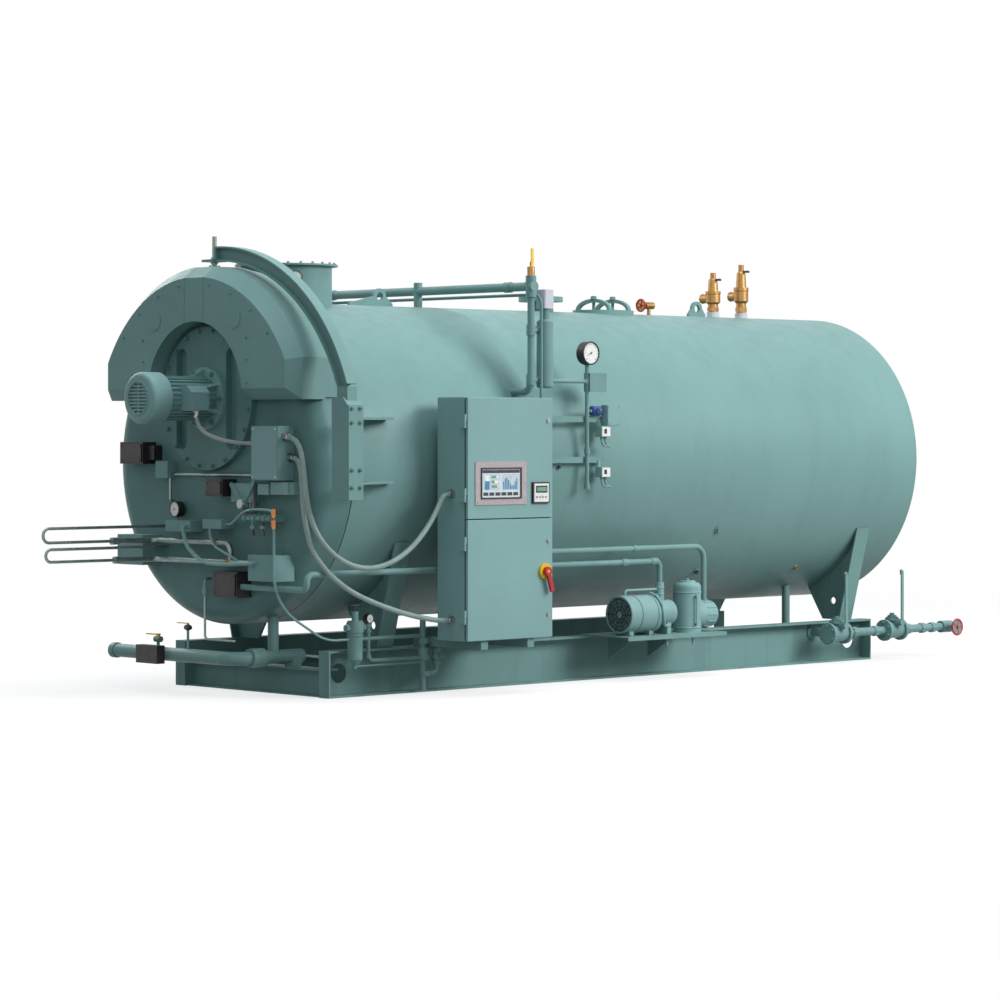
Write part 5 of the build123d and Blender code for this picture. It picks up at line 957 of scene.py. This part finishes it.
def drip_bulb():
    # A small bulb with its nut at the foot of the drip tube.
    low_z, belly_z, neck_z, nut_z, top_z = 640, 672, 700, 722, 742
    p = Piece("drip_fitting").use("tube_paint")
    x, y = DOOR_X - 50.0, 8.0
    p.post(x, y, low_z, belly_z, 10.0, 21.0).post(x, y, belly_z, neck_z, 21.0, 15.0)
    p.post(x, y, neck_z, nut_z, 13.0, sides=HEX).post(x, y, nut_z, top_z, 11.0)
    p.done(slot="tube_steel")


def copper_fittings():
    stack_y, stack_zs, unions = -806.0, (1118.0, 1190.0), ((-120.0, 1003.0), (-250.0, 879.0))
    stack_x, union_x = DOOR_X - 135.0, DOOR_X - 80
    p = Piece("copper_fittings")
    for z in stack_zs:
        p.use("copper").post(stack_x, stack_y, z, z + 42, 17.0, sides=HEX)
        p.use("brass").post(stack_x, stack_y, z - 12, z, 13.0)
    for y, z in unions:
        p.use("brass").rod((union_x, y, z), (union_x, y - 34, z), 25.0, sides=HEX)
    p.done(slot="bronze")


def conduit_ends():
    # Clamp nuts where the flexible conduits enter their boxes.
    wide, thin = 25, 20
    spots = ((CONDUIT_UPPER[0], NEAR, wide), (CONDUIT_LOWER[0], NEAR, wide), (CONDUIT_UPPER[-1], FRONT, wide),
             (CONDUIT_LOWER[-1], FRONT, wide), (MOTOR_CONDUIT[0], (0, 0, -1), thin),
             (MOTOR_CONDUIT[-1], (0, 1, 0), thin))
    p = Piece("conduit_connectors").use("steel")
    for at, axis, radius in spots:
        at, axis = Vector(at), Vector(axis)
        p.rod(at, at + axis * 8, radius * 1.25, sides=OCTAGON)
        p.rod(at + axis * 8, at + axis * 30, radius, sides=HEX)
        p.rod(at + axis * 30, at + axis * 42, radius * 0.9, radius * 0.78)
    p.done(slot="tube_steel")


def transmitter():
    # A round blue transmitter on a nipple of the gauge manifold.
    body, cone, face, sides = 34.0, 24.0, 26.0, 36
    p = Piece("pressure_transmitter")
    x, y, z = GAUGE_X, -1132.0, 1864.0
    p.use("pipe").rod((x, y, z), (x + 30, y, z), 10.0)
    p.use("steel").rod((x + 22, y, z), (x + 38, y, z), 17.0, sides=HEX)
    p.use("blue").rod((x + 38, y, z), (x + 46, y, z), cone, body, sides)
    p.rod((x + 46, y, z), (x + 112, y, z), body, sides=sides)
    p.rod((x + 112, y, z), (x + 120, y, z), body, face, sides)
    p.use("black").rod((x + 70, y - 32, z), (x + 70, y - 40, z), 20.0, 18.0)
    p.done(slot="panel_grey")


def control_faces():
    # White fronts with dark windows on the hung sensors, and a painted lid on the box above them.
    tops, half, lid_low, lid_high = (1758.0, 1481.0), 38, 1766, 1900
    p = Piece("control_faces")
    low, high = span("pressure_controls")
    front, back = low.y, low.y + 30
    sensor_x = MANIFOLD_HIGH.x - 23.0
    for top in tops:
        p.use("white").box((sensor_x - half, front - 4, top - 66), (sensor_x + half, front, top - 4))
        p.use("black").box((sensor_x - 20, front - 6, top - 48), (sensor_x + 4, front - 4, top - 16))
        for x in (sensor_x - 12, sensor_x + 22):
            bend = [(x, back, top - 70), (x, back, top - 96), (x + 8, back - 1, top - 118),
                    (x + 24, back - 2, top - 132), (x + 48, back - 2, top - 136)]
            p.use("tube_paint").tube(bend, 7.5)
            p.post(x, back, top - 70, top - 84, 12.0, sides=HEX)
    p.use("cabinet").box((high.x - 116, front - 5, lid_low), (high.x - 4, front, lid_high))
    corners = [(x, front - 5, z) for x in (high.x - 106, high.x - 14) for z in (lid_low + 10, lid_high - 10)]
    p.use("steel").screws(corners, NEAR, 3, 5.0, 4.0)
    p.done(slot="panel_grey")


def shell_plugs():
    # Small screwed plugs and hand holes on the near side of the jacket.
    spots = ((845, -943, 1025, 26, "shell"), (874, -698, 716, 20, "dark_steel"),
             (1949, -696, 714, 18, "brass"), (-873, -1064, 1484, 14, "dark_steel"))
    p = Piece("shell_plugs")
    for x, y, z, radius, key in spots:
        out = Vector((0, y, z - AXIS_Z)).normalized()
        at = Vector((x, 0, AXIS_Z)) + out * SHELL_R
        p.use("shell").rod(at - out * 6, at + out * 5, radius * 1.35, sides=28)
        p.use(key).rod(at + out * 5, at + out * 20, radius * 0.8, sides=HEX)
    p.done(slot="vessel_paint")


def compressor_guard():
    # A wire guard of rings and spokes in front of the compressor's fan.
    rings, spoke_r, wire = (34, 58, 82, 106), 118.0, 3.0
    p = Piece("compressor_guard").use("black")
    x, y, z = COMPRESSOR_LOW.x + 6, COMPRESSOR_Y, COMPRESSOR_Z
    for radius in rings:
        p.ring((x, y, z), BACK, radius, wire, 36, 8)
    for across, up in around(10, spoke_r):
        p.rod((x, y + across * 0.2, z + up * 0.2), (x, y + across, z + up), wire, sides=8)
    p.done(slot="black_housing")


def terminal_trim():
    edge, top_edge, screw_in, lid = 8, 52, 18, 4
    p = Piece("terminal_box_cover").use("motor")
    low, high = span("motor_terminal_box")
    face = low.y - lid
    p.box((low.x + edge, face, low.z + edge), (high.x - edge, low.y, high.z - top_edge))
    corners = [(x, face, z) for x in (low.x + screw_in, high.x - screw_in)
               for z in (low.z + screw_in, high.z - top_edge - 10)]
    p.use("steel").screws(corners, NEAR, 4, 6.0, 4.5)
    p.done(slot="motor_paint")


def box_lids():
    # A lid with corner screws on the large box of the door.
    lid, low_y, high_y, low_z, high_z, inset = 5, -832, -578, 1420, 1755, 14
    p = Piece("junction_box_lids")
    x = span("junction_boxes")[0].x
    p.use("cabinet").box((x - lid, low_y, low_z), (x, high_y, high_z))
    corners = [(x - lid, y, z) for y in (low_y + inset, high_y - inset)
               for z in (low_z + inset, high_z - inset)]
    p.use("steel").screws(corners, FRONT, 5, 7.0, 5.0)
    p.done(slot="cabinet_paint")


def actuator_caps():
    # Raised covers with corner screws on the three black actuators.
    lid, inset = 8, 14
    covers = ((612, 839, 1520, 1642, DOOR_X - 110), (-250, -97, 1316, 1403, DOOR_X - 120),
              (-399, -174, 663, 806, DOOR_X - 120))
    p = Piece("actuator_covers").use("black")
    for y0, y1, z0, z1, x in covers:
        p.box((x - lid, y0, z0), (x, y1, z1))
        corners = [(x - lid, y, z) for y in (y0 + inset, y1 - inset) for z in (z0 + inset, z1 - inset)]
        p.screws(corners, FRONT, 4, 6.0, 4.5)
    p.done(slot="black_housing")


for make in (burner_bolts, stack_bolts, manway_nuts, davit_bolts, blowdown_trim, lever_knobs, rear_bolts,
             shroud_bolts, operator_screen, screen_frame, module_face, safety_valve_trim, ball_valve_lever,
             gas_cock_levers, pilot_valve, linkage_springs, fitting_train, drip_bulb, strainer_trim,
             rail_piping, compressor_trim, tank_trim, air_fittings, copper_fittings, conduit_ends,
             transmitter, control_faces, shell_plugs, compressor_guard, terminal_trim, box_lids,
             actuator_caps):
    make()
door_latches(UPPER, "upper_door_latches")
door_latches(LOWER, "lower_door_latches")
STACK_TURN = math.radians(30)
STACK_OUT = Vector((-math.sin(STACK_TURN), -math.cos(STACK_TURN), 0))
STACK_DIAL = Vector((STACK_X, 0, STACK_HIGH.z - 95)) + STACK_OUT * 374
dial("steam_gauge_face", (GAUGE_X, -1168, 2256), NEAR, 79.0)
dial("stack_thermometer_face", STACK_DIAL, STACK_OUT, 43.0)
dial("fuel_gauge_face", (DOOR_X - 74, 300, 1212), FRONT, 52.0)
handwheel("vent_handwheel", (BRASS_HIGH.x - 127, 0, 2655), FRONT, 44.0)
handwheel("blowdown_handwheel", (3391, -1068, BLOW_Z), NEAR, 58.0)


# Floor and light
FLOOR_SIZE = 60.0
FLOOR_SHADE = 0.30
FLOOR_GLOW = 0.72
FLOOR_NEAR, FLOOR_FAR = 5.0, 13.0
SKY = (0.86, 0.93, 1.0, 1.0)
SKY_STRENGTH = 0.40
# Name, place, target, size, power and colour of each lamp
LAMPS = (
    ("key", (6.0, -13.0, 8.0), (0.0, 0.0, 1.2), (8.0, 6.0), 1950.0, (1, 1, 1)),
    ("overhead", (-1.0, -2.5, 13.0), (0.0, 0.0, 1.5), (12.0, 7.0), 950.0, (0.94, 0.98, 1.0)),
    ("fill", (-13.0, -8.0, 6.0), (-2.0, 0.0, 1.5), (7.0, 7.0), 150.0, (0.92, 0.97, 1.0)),
    ("rim", (-2.0, 10.0, 7.0), (0.0, 0.0, 1.5), (8.0, 4.0), 500.0, (1, 1, 1)),
)


def seen_directly(tree):
    # One where a ray comes from the camera, a mirror-like surface or a clear one.
    path = tree.nodes.new("ShaderNodeLightPath")
    total = path.outputs["Is Camera Ray"]
    for name in ("Is Glossy Ray", "Is Transmission Ray"):
        most = tree.nodes.new("ShaderNodeMath")
        most.operation = "MAXIMUM"
        tree.links.new(total, most.inputs[0])
        tree.links.new(path.outputs[name], most.inputs[1])
        total = most.outputs["Value"]
    return total


def floor_material():
    # Pale ground that keeps the shadow and meets the white background without a line.
    n = Nodes("floor_pale")
    low, high = FLOOR_SHADE - 0.01, FLOOR_SHADE + 0.01
    mottled = n.ramp(n.noise(0.8, 3.0), [(0.3, (low, low, low, 1)), (0.7, (high, high, high, 1))])
    reach = n.add("ShaderNodeVectorMath", {0: n.where}, operation="LENGTH").outputs["Value"]
    n.color(n.mix(n.grey(reach, 0.0, 1.0, FLOOR_NEAR, FLOOR_FAR), mottled, (0, 0, 0, 1)))
    n.set(Roughness=1.0, Specular_IOR_Level=0.0)
    n.shader.inputs["Emission Color"].default_value = (1, 1, 1, 1)
    glow = n.add("ShaderNodeMath", {0: seen_directly(n.tree)}, operation="MULTIPLY")
    n.tree.links.new(n.grey(reach, FLOOR_GLOW, 1.0, FLOOR_NEAR, FLOOR_FAR), glow.inputs[1])
    n.tree.links.new(glow.outputs["Value"], n.shader.inputs["Emission Strength"])
    return n.material


def make_floor():
    mesh = bpy.data.meshes.new("floor")
    s = FLOOR_SIZE
    mesh.from_pydata([(-s, -s, 0), (s, -s, 0), (s, s, 0), (-s, s, 0)], [], [(0, 1, 2, 3)])
    mesh.materials.append(floor_material())
    floor = bpy.data.objects.new("floor", mesh)
    floor.location.z = -0.001
    bpy.context.scene.collection.objects.link(floor)


def make_world():
    world = bpy.data.worlds.new("studio")
    world.use_nodes = True
    tree = world.node_tree
    light = tree.nodes["Background"]
    light.inputs["Color"].default_value = SKY
    light.inputs["Strength"].default_value = SKY_STRENGTH
    seen = tree.nodes.new("ShaderNodeBackground")
    seen.inputs["Color"].default_value = (1, 1, 1, 1)
    mix = tree.nodes.new("ShaderNodeMixShader")
    tree.links.new(seen_directly(tree), mix.inputs["Fac"])
    tree.links.new(light.outputs["Background"], mix.inputs[1])
    tree.links.new(seen.outputs["Background"], mix.inputs[2])
    tree.links.new(mix.outputs["Shader"], tree.nodes["World Output"].inputs["Surface"])
    bpy.context.scene.world = world


def lamp(name, at, target, size, power, color):
    data = bpy.data.lights.new(name, "AREA")
    data.shape = "RECTANGLE"
    data.size, data.size_y = size
    data.energy = power
    data.color = color
    obj = bpy.data.objects.new(name, data)
    obj.location = at
    obj.rotation_euler = (Vector(target) - Vector(at)).to_track_quat("-Z", "Y").to_euler()
    bpy.context.scene.collection.objects.link(obj)


make_floor()
make_world()
for row in LAMPS:
    lamp(*row)
bpy.context.scene.view_settings.view_transform = "Standard"
